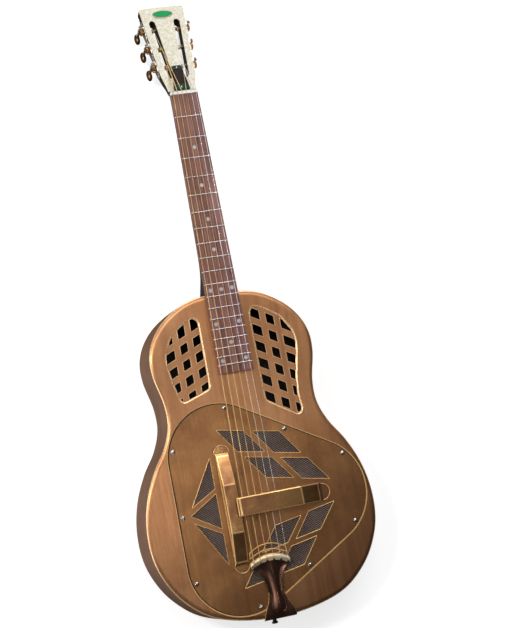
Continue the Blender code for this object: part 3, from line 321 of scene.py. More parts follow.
# Painted shade: a much darker copy of the cloth on every other facet of the ribs.
GAUZE_PAINTED_SHADE = gauze("gauze_painted_shade", (0.045, 0.026, 0.02), (0.09, 0.055, 0.045), 0.72, 0.85)
SPUN = spun()
ROSEWOOD = wood("rosewood", (0.10, 0.042, 0.034), (0.225, 0.10, 0.082), (0.36, 0.18, 0.145),
                rough=(0.45, 0.6))
MAHOGANY = wood("dark_mahogany", (0.009, 0.005, 0.004), (0.018, 0.010, 0.008), (0.034, 0.018, 0.013),
                grain=(160, 9, 160), rough=(0.28, 0.4), pore=0.1, coat=0.03, shine=0.05)
MAPLE = wood("maple", (0.48, 0.33, 0.18), (0.62, 0.45, 0.26), (0.72, 0.55, 0.34), pore=0.08)


def pearloid():
    """Cream pearl sheet: drifting flakes of slightly different shade and gloss."""
    s = Shader("pearloid", (0.8, 0.77, 0.66), 0.28, 0.0, Coat_Weight=0.5, Coat_Roughness=0.08)
    warp = s.noise(s.place, 120, 3.0, 0.6)
    vector = s.node("ShaderNodeVectorMath", {0: s.place, 1: s.mix(0.004, (0, 0, 0), warp)},
                    operation="ADD").outputs[0]
    flakes = s.node("ShaderNodeTexVoronoi", {"Vector": vector, "Scale": 620.0}).outputs[1]
    shade = s.node("ShaderNodeSeparateColor", {0: flakes}).outputs[0]
    tone = s.weighted((shade, 0.45), (s.noise(s.place, 900, 3.0, 0.75), 0.55))
    s.color(tone, (0.3, (0.56, 0.52, 0.39)), (0.5, (0.66, 0.62, 0.49)), (0.72, (0.75, 0.72, 0.63)))
    s.rough(shade, 0.0, 1.0, 0.2, 0.42)
    return s.mat


def glossy(name, color, rough, fleck=0.12, coat=0.3, shine=0.4):
    """Bone, enamel and black plate: one colour under a thin gloss."""
    s = Shader(name, color, rough, 0.0, Coat_Weight=coat, Coat_Roughness=0.06, Specular_IOR_Level=shine)
    cloud = s.noise(s.place, 180, 4.0, 0.6)
    s.color(cloud, (0.3, scaled(color, 1 - fleck)), (0.7, color))
    s.rough(cloud, 0.3, 0.7, rough * 0.8, rough * 1.25)
    return s.mat


def wound():
    """Phosphor bronze winding: rings across the string."""
    s = Shader("wound_bronze", (0.80, 0.56, 0.25), 0.3, 1.0)
    rings = s.wave(s.split(s.place)[1], 0.34)
    s.color(s.range(rings, -1, 1, 0, 1), (0.0, (0.52, 0.31, 0.11)), (0.6, (0.93, 0.66, 0.32)))
    s.bump(rings, 0.6, 0.06)
    return s.mat


PEARLOID = pearloid()
BONE = glossy("bone", (0.80, 0.79, 0.74), 0.3, 0.05)
PEARL_DOT = glossy("pearl_dot", (0.52, 0.50, 0.53), 0.25, 0.3)
BLACK = glossy("black_plate", (0.02, 0.013, 0.012), 0.4, 0.3, 0.05, 0.15)
GREEN = glossy("green_enamel", (0.004, 0.30, 0.085), 0.35, 0.2, 0.1, 0.2)
DARK_GREEN = glossy("dark_green_trim", (0.002, 0.06, 0.035), 0.4, 0.3, 0.05, 0.15)
BADGE_RIM = plain_metal("badge_rim", (0.50, 0.26, 0.21), 0.35)
WOUND = wound()


# ---- mesh helpers (millimetres in, metres out) --------------------------------------------------
def linked(name, data):
    """A new object in the scene."""
    obj = bpy.data.objects.new(name, data)
    bpy.context.scene.collection.objects.link(obj)
    return obj


def evaluated_mesh(obj):
    return bpy.data.meshes.new_from_object(obj.evaluated_get(bpy.context.evaluated_depsgraph_get()))


def at_mm(x, y, z):
    return Matrix.Translation((x * MM, y * MM, z * MM))


@contextmanager
def editing(mesh):
    """The mesh opened as a bmesh, written back afterwards."""
    bm = bmesh.new()
    bm.from_mesh(mesh)
    yield bm
    bm.to_mesh(mesh)
    bm.free()


def mesh_of(bm, name):
    """A new mesh with outward normals, from a bmesh that is used up."""
    bmesh.ops.recalc_face_normals(bm, faces=bm.faces)
    mesh = bpy.data.meshes.new(name)
    bm.to_mesh(mesh)
    bm.free()
    return mesh


def moved(mesh, matrix):
    mesh.transform(matrix)
    return mesh


def facing_up(mesh):
    """An open sheet with its faces turned to look up on the whole."""
    if sum(polygon.normal.z * polygon.area for polygon in mesh.polygons) < 0:
        mesh.flip_normals()
    return mesh


def piece(name, mesh, mats, nodes=(), body=GUITAR, matrix=None, slot=None, modifiers=(), angle=32):
    """Link a mesh, scaled to metres, as a finished smooth-shaded piece riding on a body."""
    mesh.transform(Matrix.Scale(MM, 4))
    obj = linked(name, mesh)
    for mat in mats if isinstance(mats, list) else [mats]:
        mesh.materials.append(mat)
    if matrix is not None:
        mesh.transform(matrix)
    for kind, settings in modifiers:
        modifier = obj.modifiers.new(kind.lower(), kind)
        for key, value in settings.items():
            setattr(modifier, key, value)
    if modifiers:
        bake(obj)
    smooth(obj, angle)
    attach(obj, body)
    if nodes:
        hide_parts(*nodes)


def bake(obj):
    """Apply the modifiers so that the mesh itself is final."""
    mesh = evaluated_mesh(obj)
    obj.modifiers.clear()
    obj.data = mesh


def smooth(obj, angle):
    """Smooth shading with sharp edges above the angle, in degrees, weighted by face area."""
    obj.data.shade_smooth()
    obj.data.set_sharp_from_angle(angle=math.radians(angle))
    modifier = obj.modifiers.new("weighted", "WEIGHTED_NORMAL")
    modifier.keep_sharp = True
    bake(obj)


def edge_bevel(width, segments=2, angle=30):
    """Rounded edges in the piece's second material."""
    return ("BEVEL", dict(width=width * MM, segments=segments, limit_method="ANGLE",
                          angle_limit=math.radians(angle), material=1, use_clamp_overlap=True))


def upper_loops(mesh):
    """The closed loops where a plate's upper face meets its walls, longest first."""
    bm = bmesh.new()
    bm.from_mesh(mesh)
    ways = {}
    for edge in bm.edges:
        rises = [face.normal.z for face in edge.link_faces]
        if len(rises) == 2 and max(rises) > 0.9 and abs(min(rises)) < 0.5:
            for here, there in (edge.verts, reversed(edge.verts)):
                ways.setdefault(here, []).append(there)
    loops = []
    while ways:
        here = min(ways, key=lambda vert: vert.index)
        loop = []
        while here in ways:
            loop.append(tuple(here.co))
            onward = [vert for vert in ways.pop(here) if vert in ways]
            here = onward[0] if onward else None
        loops.append(loop)
    bm.free()
    spans = {id(loop): sum(math.dist(a, b) for a, b in zip(loop, loop[1:] + loop[:1])) for loop in loops}
    return sorted(loops, key=lambda loop: -spans[id(loop)])


def painted_highlight_beads(name, loops, radius, mat, slot):
    """Painted highlights, as a thin bright bead half sunk into each edge of a plate."""
    beads = [tube_mesh(name, [(x, y, z - radius / 2) for x, y, z in loop], radius, closed=True, sides=8)
             for loop in loops if len(loop) > 2]
    piece(name, joined(name, beads), mat, slot=slot)


def shell(thickness, inner=0):
    """An inward wall; its inner faces take the material that many slots further on."""
    return ("SOLIDIFY", dict(thickness=thickness * MM, offset=-1.0, use_even_offset=True,
                             material_offset=inner))


def curve_bmesh(name, loops, closed, **settings):
    """A curve through the loops' points, filled or thickened by its settings, as a welded bmesh."""
    curve = bpy.data.curves.new(name, "CURVE")
    for key, value in settings.items():
        setattr(curve, key, value)
    for loop in loops:
        spline = curve.splines.new("POLY")
        spline.points.add(len(loop) - 1)
        for point, at in zip(spline.points, loop):
            point.co = (*at, 1)
        spline.use_cyclic_u = closed
    guide = linked(name, curve)
    mesh = evaluated_mesh(guide)
    bpy.data.objects.remove(guide)
    bpy.data.curves.remove(curve)
    bm = bmesh.new()
    bm.from_mesh(mesh)
    bpy.data.meshes.remove(mesh)
    bmesh.ops.remove_doubles(bm, verts=bm.verts, dist=1e-4)
    return bm


def plate_mesh(name, loops, low, high):
    """A flat plate: the first loop is its outline, the others are its holes."""
    flat = [[(x, y, 0) for x, y in loop] for loop in loops]
    bm = curve_bmesh(name, flat, True, dimensions="2D", fill_mode="BOTH", extrude=(high - low) / 2)
    bmesh.ops.translate(bm, vec=(0, 0, (low + high) / 2), verts=bm.verts)
    return mesh_of(bm, name)


def flat_fill(name, loops, z):
    """A flat face with holes, as one layer of triangles."""
    mesh = plate_mesh(name, loops, z - 1, z + 1)
    with editing(mesh) as bm:
        low = [vert for vert in bm.verts if vert.co.z < z]
        bmesh.ops.delete(bm, geom=low, context="VERTS")
        for vert in bm.verts:
            vert.co.z = z
    return mesh


def loft_mesh(name, rings, cyclic=True, capped=True):
    """A skin over rows of points, all of one length."""
    bm = bmesh.new()
    rows = [[bm.verts.new(point) for point in ring] for ring in rings]
    count = len(rows[0])
    for row, following in zip(rows, rows[1:]):
        for i in range(count if cyclic else count - 1):
            j = (i + 1) % count
            bm.faces.new((row[i], row[j], following[j], following[i]))
    if capped:
        bm.faces.new(rows[0])
        bm.faces.new(rows[-1])
    return mesh_of(bm, name)


def turned_mesh(name, profile, steps=32):
    """A turned solid about +Z; the profile's ends lie on the axis."""
    bm = bmesh.new()
    rows = []
    for radius, z in profile:
        if radius < 1e-6:
            rows.append([bm.verts.new((0, 0, z))])
        else:
            rows.append([bm.verts.new((x * radius, y * radius, z)) for x, y in circle((0, 0), 1, steps)])
    for row, following in zip(rows, rows[1:]):
        for i in range(steps):
            j = (i + 1) % steps
            corners = [row[i % len(row)], row[j % len(row)], following[j % len(following)],
                       following[i % len(following)]]
            corners = list(dict.fromkeys(corners))
            if len(corners) > 2:
                bm.faces.new(corners)
    return mesh_of(bm, name)


def tube_mesh(name, points, radius, closed=False, sides=10):
    """A round tube through the points, with rounded mitres and closed ends."""
    return mesh_of(curve_bmesh(name, [points], closed, dimensions="3D", bevel_depth=radius,
                               bevel_resolution=max(0, sides // 2 - 2), use_fill_caps=not closed), name)


def box_mesh(name, low, high):
    bm = bmesh.new()
    bmesh.ops.create_cube(bm, size=1)
    bmesh.ops.scale(bm, vec=[b - a for a, b in zip(low, high)], verts=bm.verts)
    bmesh.ops.translate(bm, vec=[(a + b) / 2 for a, b in zip(low, high)], verts=bm.verts)
    return mesh_of(bm, name)


def joined(name, meshes):
    """One mesh of all the meshes, which are used up."""
    mesh = bpy.data.meshes.new(name)
    bm = bmesh.new()
    for part in meshes:
        bm.from_mesh(part)
        bpy.data.meshes.remove(part)
    bm.to_mesh(mesh)
    bm.free()
    return mesh


def cut(mesh, cutters):
    """The mesh with the cutter meshes taken out of it."""
    obj = linked("cut_target", mesh)
    others = [linked("cutter", cutter) for cutter in cutters]
    for other in others:
        modifier = obj.modifiers.new("cut", "BOOLEAN")
        modifier.solver = "EXACT"
        modifier.operation = "DIFFERENCE"
        modifier.object = other
    result = evaluated_mesh(obj)
    for other in others + [obj]:
        bpy.data.objects.remove(other)
    return result


def smooth_loop(points, samples, closed=True):
    """Catmull-Rom through the points."""
    pts = np.array(points, float)
    count = len(pts)
    loop = []
    for i in range(count if closed else count - 1):
        at = [(i + k) % count if closed else min(max(i + k, 0), count - 1) for k in (-1, 0, 1, 2)]
        p0, p1, p2, p3 = pts[at]
        for step in range(samples):
            t = step / samples
            loop.append(tuple(0.5 * (2 * p1 + (p2 - p0) * t + (2 * p0 - 5 * p1 + 4 * p2 - p3) * t ** 2
                                     + (3 * p1 - p0 - 3 * p2 + p3) * t ** 3)))
    if not closed:
        loop.append(tuple(pts[-1]))
    return loop


def corner_curve(start, corner, end, shares):
    """Points of the quadratic curve that rounds a corner."""
    return [tuple(start * (1 - t) ** 2 + corner * 2 * t * (1 - t) + end * t ** 2) for t in shares]


def rounded_loop(points, radius, steps=6):
    """A polygon with its corners cut to arcs of about the radius."""
    loop = []
    count = len(points)
    for i in range(count):
        before, corner, after = (Vector(points[(i + k) % count]) for k in (-1, 0, 1))
        start, end = (corner + (other - corner).normalized() * min(radius, (other - corner).length * 0.45)
                      for other in (before, after))
        loop += corner_curve(start, corner, end, [step / steps for step in range(steps + 1)])
    return loop


def circle(centre, radius, sides):
    return [(centre[0] + radius * math.cos(2 * math.pi * i / sides),
             centre[1] + radius * math.sin(2 * math.pi * i / sides)) for i in range(sides)]


def arc(steps, turn=math.pi / 2, start=0.0):
    """Cosine and sine at even steps of a turn, both ends included."""
    angles = [start + turn * step / steps for step in range(steps + 1)]
    return [(math.cos(angle), math.sin(angle)) for angle in angles]


def mirrored_loop(half):
    """A loop from its right half and that half's mirror image."""
    return half + [(-x, y) for x, y in reversed(half)]


def inset(loop, distance):
    """A loop moved inward by the distance, whichever way round it runs."""
    pts = np.array(loop)
    onward = np.roll(pts, -1, axis=0)
    area = 0.5 * float(np.sum(pts[:, 0] * onward[:, 1] - onward[:, 0] * pts[:, 1]))
    tangent = onward - np.roll(pts, 1, axis=0)
    tangent /= np.linalg.norm(tangent, axis=1)[:, None]
    inward = np.stack([-tangent[:, 1], tangent[:, 0]], axis=1) * math.copysign(1, area)
    return [tuple(point) for point in pts + inward * distance]


def cone_triangle(margin, steps=30):
    """The three-lobed outline that runs at the margin round the cones' centres."""
    loop = []
    for (cx, cy), middle in sorted(zip(CONES, CONE_BISECTORS), key=lambda item: item[1]):
        for step in range(steps + 1):
            angle = math.radians(middle - 60 + 120 * step / steps)
            loop.append((cx + margin * math.cos(angle), cy + margin * math.sin(angle)))
    return loop


def screw_places():
    """Two screws to each lobe of the coverplate and one to each flank."""
    spots = [(cx, cy, middle + turn) for (cx, cy), middle in zip(CONES, CONE_BISECTORS)
             for turn in (-SCREW_TURN, SCREW_TURN)]
    for first, second, heading in ((0, 1, 180), (0, 2, 60), (1, 2, 300)):
        (ax, ay), (bx, by) = CONES[first], CONES[second]
        spots.append(((ax + bx) / 2, (ay + by) / 2, heading))
    return [(cx + SCREW_MARGIN * math.cos(math.radians(heading)),
             cy + SCREW_MARGIN * math.sin(math.radians(heading))) for cx, cy, heading in spots]


def clean_copy(node):
    """A node's mesh in millimetres with its seams welded and its flat faces whole."""
    mesh = NODES[node].data.copy()
    mesh.materials.clear()
    mesh.transform(Matrix.Scale(1 / MM, 4))
    with editing(mesh) as bm:
        bmesh.ops.remove_doubles(bm, verts=bm.verts, dist=2e-3)
        bmesh.ops.dissolve_limit(bm, angle_limit=math.radians(0.5), verts=bm.verts, edges=bm.edges)
        for face in bm.faces:
            face.material_index = 0
    return mesh


# ---- body ---------------------------------------------------------------------------------------
OUTLINE = smooth_loop(BODY_HALF + [(-x, y) for x, y in reversed(BODY_HALF[1:-1])], 12)
OPENINGS = [rounded_loop(opening, 5.5) for opening in (BASS_OPENING, TREBLE_OPENING)]
# Radius of the openings' rolled edges, and how far in the upper rim's roll runs.
FILLET = 2.2
ROLL = 7
TOP_HOLE_MARGIN = 72
# The smoothed outline bulges a hair past the frame's, so the shell is drawn this much narrower.
BODY_TRIM = 0.9992
CONE_SLOPE = 0.327
CONE_RIPPLE = 0.35


def rim_ring(inset_by, z):
    return [(x, y, z) for x, y in inset(OUTLINE, inset_by)]


def build_body():
    """One seamless shell: flat back, rolled rims, sides, and a top with rolled sound openings."""
    rings = [rim_ring(RIM * (1 - sine), RIM * (1 - cosine)) for cosine, sine in arc(7)]
    for share in (0.25, 0.5, 0.75):
        rings.append(rim_ring(0, RIM + (DEPTH - 2 * RIM) * share))
    rings += [rim_ring(ROLL * (1 - cosine), DEPTH - RIM * (1 - sine)) for cosine, sine in arc(7)]
    low_edge, high_edge = ([(x, y) for x, y, _ in ring] for ring in (rings[0], rings[-1]))
    wide = [inset(loop, -FILLET) for loop in OPENINGS]
    sheets = [loft_mesh("wall", rings, capped=False), flat_fill("back", [low_edge], 0),
              flat_fill("top", [high_edge, cone_triangle(TOP_HOLE_MARGIN)] + wide, DEPTH)]
    for loop in OPENINGS:
        rows = [[(x, y, DEPTH - FILLET * (1 - cosine)) for x, y in inset(loop, -FILLET * (1 - sine))]
                for cosine, sine in arc(5)]
        roll = loft_mesh("roll", rows, capped=False)
        # The openings' rolled edges take the pale copper: a painted highlight.
        for polygon in roll.polygons:
            polygon.material_index = 2
        sheets.append(roll)
    mesh = joined("body_shell", sheets)
    with editing(mesh) as bm:
        bmesh.ops.remove_doubles(bm, verts=bm.verts, dist=0.02)
        bmesh.ops.recalc_face_normals(bm, faces=bm.faces)
        if max(bm.faces, key=lambda face: face.calc_center_median().z).normal.z < 0:
            bmesh.ops.reverse_faces(bm, faces=bm.faces)
        for face in bm.faces:
            z = face.calc_center_median().z
            if abs(face.normal.z) < 0.9 and abs(z - DEPTH / 2) < DEPTH / 2 - 1.3 * RIM:
                face.material_index = 1
            # The upper rim's roll takes the pale copper: a painted highlight.
            elif face.material_index == 0 and 0.2 < face.normal.z < 0.8 and z > DEPTH - RIM:
                face.material_index = 2
    mesh.transform(Matrix.Diagonal((BODY_TRIM, 1, 1, 1)))
    # The shell's inner faces take the near-black cavity colour: painted shade.
    piece("body_shell", mesh, [COPPER, COPPER_SIDE, COPPER_HIGHLIGHT, CAVITY_SHADE],
          ["body_top", "body_sides", "body_back"], slot="brushed_copper", modifiers=[shell(0.9, inner=3)])


def build_grilles():
    for node in ("bass_grille", "treble_grille"):
        mesh = clean_copy(node)
        painted_highlight_beads(node + "_edges", upper_loops(mesh)[1:], 0.5, LATTICE_HIGHLIGHT, "brushed_copper")
        piece(node + "_lattice", mesh, COPPER, [node], slot="brushed_copper")


def build_inside():
    """The soundwell, spun cones with fine rings, the T bridge, the neck stick, tail block and truss rod."""
    # The soundwell pan is near black too: painted shade of the cavity.
    piece("soundwell_pan", clean_copy("soundwell"), [CAVITY_SHADE, CAVITY_SHADE], ["soundwell"], slot="cover_bronze",
          modifiers=[edge_bevel(0.2, 1)])
    crown = 14
    profile = [(0, 66), (10.6, 66), (11.4, 65.6), (crown, 64.5)]
    for i in range(1, 27):
        radius = crown + i * 2.0
        z = 64.5 - (radius - crown) * CONE_SLOPE
        profile.append((radius, z + (CONE_RIPPLE if i % 2 else -CONE_RIPPLE)))
    profile += [(69, 46.7), (76, 46.6)]
    lower = [(radius, z - 0.8) for radius, z in reversed(profile)]
    for name, (x, y) in zip(CONE_NODES, CONES):
        piece(name + "_spun", turned_mesh(name, profile + lower, 72), SPUN, [name], slot="spun_aluminium",
              matrix=at_mm(x, y, 0), angle=60)
    for node, kind, mat, slot, segments in (("t_bridge", "cast", SPUN, "spun_aluminium", 3),
                                            ("neck_stick", "wood", MAPLE, "maple", 2),
                                            ("tail_block", "wood", MAPLE, "maple", 2)):
        piece("%s_%s" % (node, kind), clean_copy(node), [mat, mat], [node], slot=slot,
              modifiers=[edge_bevel(0.8, segments)])
    rod = tube_mesh("truss", [(0, 338, 73), (0, 647, 73)], 2.2, sides=16)
    piece("truss_rod_steel", rod, STEEL, ["truss_rod"], slot="steel_wire")


# ---- coverplate, gauze, screws and hand rest ----------------------------------------------------
GAUZE_PITCH = 1.35
GAUZE_MARGIN = 0.2
GAUZE_HEIGHTS = (79.35, 79.85)


def rectangle(low_x, low_y, high_x, high_y):
    return [(low_x, low_y), (high_x, low_y), (high_x, high_y), (low_x, high_y)]


def build_cover():
    """Coverplate, painted highlights on its panes' edges and a painted shadow and highlight round its rim."""
    slot_x, slot_y = SADDLE_SLOT
    panes = [MIDDLE_PANE]
    for pane in PANES:
        panes += [pane, [(x, -y) for x, y in pane]]
    panes = [rounded_loop(pane, 1.2, 3) for pane in panes]
    holes = [rectangle(-slot_x, -slot_y, slot_x, slot_y)] + panes
    holes += [circle(at, 1.7, 16) for at in screw_places()]
    sheet = plate_mesh("coverplate", [cone_triangle(80, 48)] + holes, COVER_LOW, COVER_HIGH)
    piece("coverplate_sheet", sheet, BRONZE, ["coverplate"], slot="cover_bronze")
    edges = [[(x, y, COVER_HIGH) for x, y in loop] for loop in panes]
    painted_highlight_beads("coverplate_edges", edges, 0.5, GOLD_TRIM_AND_HIGHLIGHT, "cover_bronze")
    # Painted shadow and highlight: the dark line is shifted to the upper left, the bright lip is widest on
    # the lower right.
    inner = cone_triangle(80.05, 48)
    outer = [(x - 0.55, y + 0.55) for x, y in cone_triangle(81.4, 48)]
    lip = [(x + 0.25, y - 0.25) for x, y in cone_triangle(82.75, 48)]
    for name, loops, high, mat in (("coverplate_shadow_line", [outer, inner], 80.22, SHADOW_LINE),
                                   ("coverplate_highlight_lip", [lip, outer], 80.3, GOLD_TRIM_AND_HIGHLIGHT)):
        piece(name, plate_mesh(name, loops, 80.02, high), mat, slot="cover_bronze")


def build_gauze():
    """A ribbed wire cloth under the panes: straight ribs clipped to the three-cone outline."""
    outline = np.array(cone_triangle(71, 20))
    along = np.array([math.cos(-GAUZE_TURN), math.sin(-GAUZE_TURN)])
    across = np.array([-along[1], along[0]])
    offsets = outline @ across
    count = int((offsets.max() - offsets.min() - 2 * GAUZE_MARGIN) / GAUZE_PITCH)
    bm = bmesh.new()
    rows = []
    for i in range(count + 1):
        level = offsets.min() + GAUZE_MARGIN + i * GAUZE_PITCH
        crossing = []
        for a, b in zip(outline, np.roll(outline, -1, axis=0)):
            low, high = a @ across - level, b @ across - level
            if low * high < 0:
                crossing.append((a + (b - a) * low / (low - high)) @ along)
        ends = [along * value + across * level for value in (min(crossing), max(crossing))]
        rows.append([bm.verts.new((*end, GAUZE_HEIGHTS[i % 2])) for end in ends])
    for row, following in zip(rows, rows[1:]):
        # Every other facet takes the dark copy of the cloth: painted shade between the ribs.
        bm.faces.new((row[0], row[1], following[1], following[0])).material_index = len(bm.faces) % 2
    for axis, limit in enumerate(SADDLE_SLOT):
        for sign in (-1, 1):
            at, normal = [0, 0, 0], [0, 0, 0]
            at[axis], normal[axis] = sign * limit, 1
            geom = list(bm.verts) + list(bm.edges) + list(bm.faces)
            bmesh.ops.bisect_plane(bm, geom=geom, plane_co=at, plane_no=normal, dist=1e-5)
    inside = [face for face in bm.faces if all(
        abs(place) < limit for place, limit in zip(face.calc_center_median(), SADDLE_SLOT))]
    bmesh.ops.delete(bm, geom=inside, context="FACES")
    piece("cover_gauze_cloth", facing_up(mesh_of(bm, "gauze")), [GAUZE, GAUZE_PAINTED_SHADE], ["cover_gauze"],
          slot="dark_gauze", angle=20, modifiers=[shell(0.12)])


def build_screws():
    """Slotted domed screws on thin washers; each slot points its own way."""
    turns = [math.radians(degrees) for degrees in range(10, 90, 8)]
    dome = [(0, 2.3)] + [(3.2 * math.sin(turn), 2.3 * math.cos(turn) ** 0.8) for turn in turns]
    dome += [(3.2, 0.25), (3.1, 0), (1.3, -0.01), (1.3, -8), (0, -8)]
    ring = [(1.9, 0), (3.9, 0), (3.9, 0.18), (3.4, 0.26), (1.9, 0.26), (1.9, 0)]
    washers = []
    for number, (x, y) in enumerate(screw_places(), 1):
        slot = box_mesh("screw_slot", (-4, -0.45, 1.25), (4, 0.45, 4))
        slot.transform(Matrix.Rotation(math.radians(37 * number), 4, "Z"))
        piece("cover_screw_head_%d" % number, cut(turned_mesh("screw", dome, 28), [slot]), SCREW,
              ["cover_screw_%d" % number], slot="screw_steel", matrix=at_mm(x, y, 81.8))
        washers.append(moved(turned_mesh("washer", ring, 28), Matrix.Translation((x, y, 81.52))))
    piece("cover_screw_washers", joined("washers", washers), ANTIQUE, slot="screw_steel")


def softened(stations):
    """Stations with each bend of the line eased over a short length."""
    result = [stations[0]]
    for before, here, after in zip(stations, stations[1:], stations[2:]):
        before, here, after = (np.array(item, float) for item in (before, here, after))
        start, end = (here + (other - here) * min(0.45, BEND_REACH / max(abs(other[0] - here[0]), 1e-6))
                      for other in (before, after))
        result += corner_curve(start, here, end, (0, 0.33, 0.67, 1))
    return result + [stations[-1]]


def channel_section(half, low, high, radius):
    """An inverted channel with round shoulders, from one lower edge over the top to the other."""
    rise = high - low
    radius = min(radius, max(rise * 0.9, 0.02), half * 0.9)
    left = [(-half, low)] + [(-half, low + (rise - radius) * share + 0.001) for share in (0.3, 0.65)]
    left += [(-half + radius * (1 - cosine), high - radius * (1 - sine)) for cosine, sine in arc(6)]
    return left + [(0, high)] + [(-x, z) for x, z in reversed(left)]


# The bars of the hand rest: place along the bar, half width, top and lower edge.
LONG_BAR_X = -46
BEND_REACH = 1.3
LONG_HALF = [(0, 10.2, 95, 82.3), (36, 10.2, 95, 82.3), (80, 10.3, 84.8, 82.3), (83.5, 11, 83.15, 82.7)]
CROSS = [(-39.6, 14.4, 100.6, 97.2), (-36.5, 14.4, 101, 97), (61, 14.4, 101, 97),
         (93, 14.3, 84.4, 82.4), (96.5, 14.1, 83.2, 82.7)]
CROSS_END = [(-41.3, 13.6, 97.6, 97.3), (-41.1, 14.1, 99.2, 97.2), (-40.4, 14.3, 100.3, 97.2)]


def foot_stations(start, radius, rows=9):
    """The half-round foot of a bar, lying flat on the coverplate."""
    angles = [math.pi / 2 * (i + 0.3) / (rows - 0.55) for i in range(rows)]
    return [(start + radius * math.sin(angle), max(radius * math.cos(angle), 0.7), 83.1, 82.85)
            for angle in angles]


def other_way(stations):
    return [(-along, *rest) for along, *rest in stations]


def on_long(along, across, z):
    """A point of the long bar, which runs along Y, from its place along and across the bar."""
    return (LONG_BAR_X + across, along, z)


def on_cross(along, across, z):
    return (along, across, z)


def foot_trim(name, stations, placer):
    """A painted highlight round a foot's edge and a painted shadow ring under it on the coverplate."""
    edge = [(along, -half, 83.0) for along, half, _, _ in stations]
    edge += [(along, half, 83.0) for along, half, _, _ in reversed(stations)]
    placed = [placer(*point) for point in edge]
    piece(name + "_rim", tube_mesh(name, placed, 0.6, sides=8), GOLD_TRIM_AND_HIGHLIGHT, slot="rest_brass")
    wide = [placer(along + (0.9 if along > 0 else -0.9), across * 1.09, 0)[:2] for along, across, _ in edge]
    piece(name + "_painted_shadow", plate_mesh(name, [wide], 81.56, 81.7), SHADOW_LINE, slot="rest_brass")


def rest_mesh(name, stations, placer, radius):
    """A bent channel through the stations, its bends and shoulders lighter as a painted highlight."""
    rows = []
    for along, half, high, low in stations:
        rows.append([placer(along, across, z) for across, z in channel_section(half, low, high, radius)])
    mesh = facing_up(loft_mesh(name, rows, cyclic=False, capped=False))
    for polygon in mesh.polygons:
        corners = np.array([mesh.vertices[i].co for i in polygon.vertices])
        # Bends and round shoulders take the lighter brass: a painted highlight.
        bend = polygon.center.z > 84.2 and min(np.ptp(corners, axis=0)[:2]) < 1.2
        if 0.28 < polygon.normal.z and (bend or polygon.normal.z < 0.83):
            polygon.material_index = 1
    return mesh


def build_hand_rest():
    """The T's two bent channels, painted highlight and shadow at their feet, and beads on the long bar's bass
    wall.
    """
    long_foot, cross_foot = foot_stations(84.4, 12.1), foot_stations(97.2, 12.7)
    half = softened(LONG_HALF) + long_foot
    bars = [("long", other_way(reversed(half[1:])) + half, on_long, 1.6),
            ("cross", CROSS_END + softened(CROSS) + cross_foot, on_cross, 1.9)]
    foot_trim("handrest_long_foot_head", long_foot, on_long)
    foot_trim("handrest_long_foot_tail", other_way(long_foot), on_long)
    foot_trim("handrest_cross_foot", cross_foot, on_cross)
    for name, stations, placer, radius in bars:
        node = "handrest_" + name
        piece(node + "_bar", rest_mesh(name, stations, placer, radius), [REST, REST_HIGHLIGHT], [node],
              slot="rest_brass", angle=50, modifiers=[shell(0.95)])
    # Bright beads on the long bar's bass wall: painted highlight lines.
    for number, (level, reach) in enumerate(((83.3, 79), (86.0, 70), (88.9, 58)), 1):
        bead = tube_mesh("bead", [(-56.45, y, level) for y in np.linspace(-reach, reach, 9)], 0.42, sides=8)
        piece("handrest_long_bead_%d" % number, bead, GOLD_TRIM_AND_HIGHLIGHT, slot="rest_brass")


# ---- neck, head, fretboard ----------------------------------------------------------------------
# The head's own frame, in metres and in millimetres.
HEAD = at_mm(0, NUT_Y, DEPTH) @ Matrix.Rotation(-HEAD_TILT, 4, "X")
HEAD_MM = Matrix.Translation((0, NUT_Y, DEPTH)) @ Matrix.Rotation(-HEAD_TILT, 4, "X")
# Neck and head: place along, half width, depth, squareness.
SHAFT = [(325.6, 25.4, 67, 2.7), (331, 25.4, 64, 2.6), (340, 25.2, 54, 2.5), (350, 25, 41, 2.4),
         (362, 24.9, 29.5, 2.3), (380, 24.6, 22.5, 2.2), (410, 24.2, 19.5, 2.2), (500, 23, 17.8, 2.2),
         (590, 21.8, 16.4, 2.2), (628, 21.4, 16.4, 2.3), (641.8, 21.4, 17.6, 2.6)]
HEAD_ROWS = [(8, 21.9, 17.6, 3), (18, 23.4, 18, 4), (29, 26.2, 18, 6), (38, 27.9, 18, 8),
             (155.5, 35.9, 18, 8), (158, 34.6, 18, 8), (159, 31, 17.6, 8)]
HEAD_TIP = [(35.7, 154), (35.5, 156.2), (34.2, 157.9), (31, 158.6), (18, 159.2)]
SLOT_ENDS = [(31, 12.9), (135, 19.9)]
SLOT_HALF = 4.75
HEAD_RECESS = 1.8
EAR_SETBACK = 7.5
PLATE_HALF = 52
POST_HOLE = 3.3


def side_half(along):
    """Half width of the head, which widens from its shoulders on."""
    return 27.9 + HEAD_SLOPE * (along - 38)


def tuner_frame(side, unit=1.0):
    """The frame on a side wall of the head, at its middle post, in millimetres unless told otherwise."""
    origin = (side * side_half(POSTS[1]) * unit, POSTS[1] * unit, -POST_DEPTH * unit)
    return Matrix.Translation(origin) @ Matrix.Rotation(-side * math.atan(HEAD_SLOPE), 4, "Z")


def head_slots(grow=0.0):
    """The two round-ended slots of the head."""
    (low, low_x), (high, high_x) = SLOT_ENDS
    radius = SLOT_HALF + grow
    loops = []
    for side in (-1, 1):
        start, end = Vector((side * low_x, low + SLOT_HALF)), Vector((side * high_x, high - SLOT_HALF))
        heading = math.atan2((end - start).y, (end - start).x)
        loops.append([(centre.x + radius * cosine, centre.y + radius * sine)
                      for centre, quarter in ((end, -math.pi / 2), (start, math.pi / 2))
                      for cosine, sine in arc(12, math.pi, heading + quarter)])
    return loops


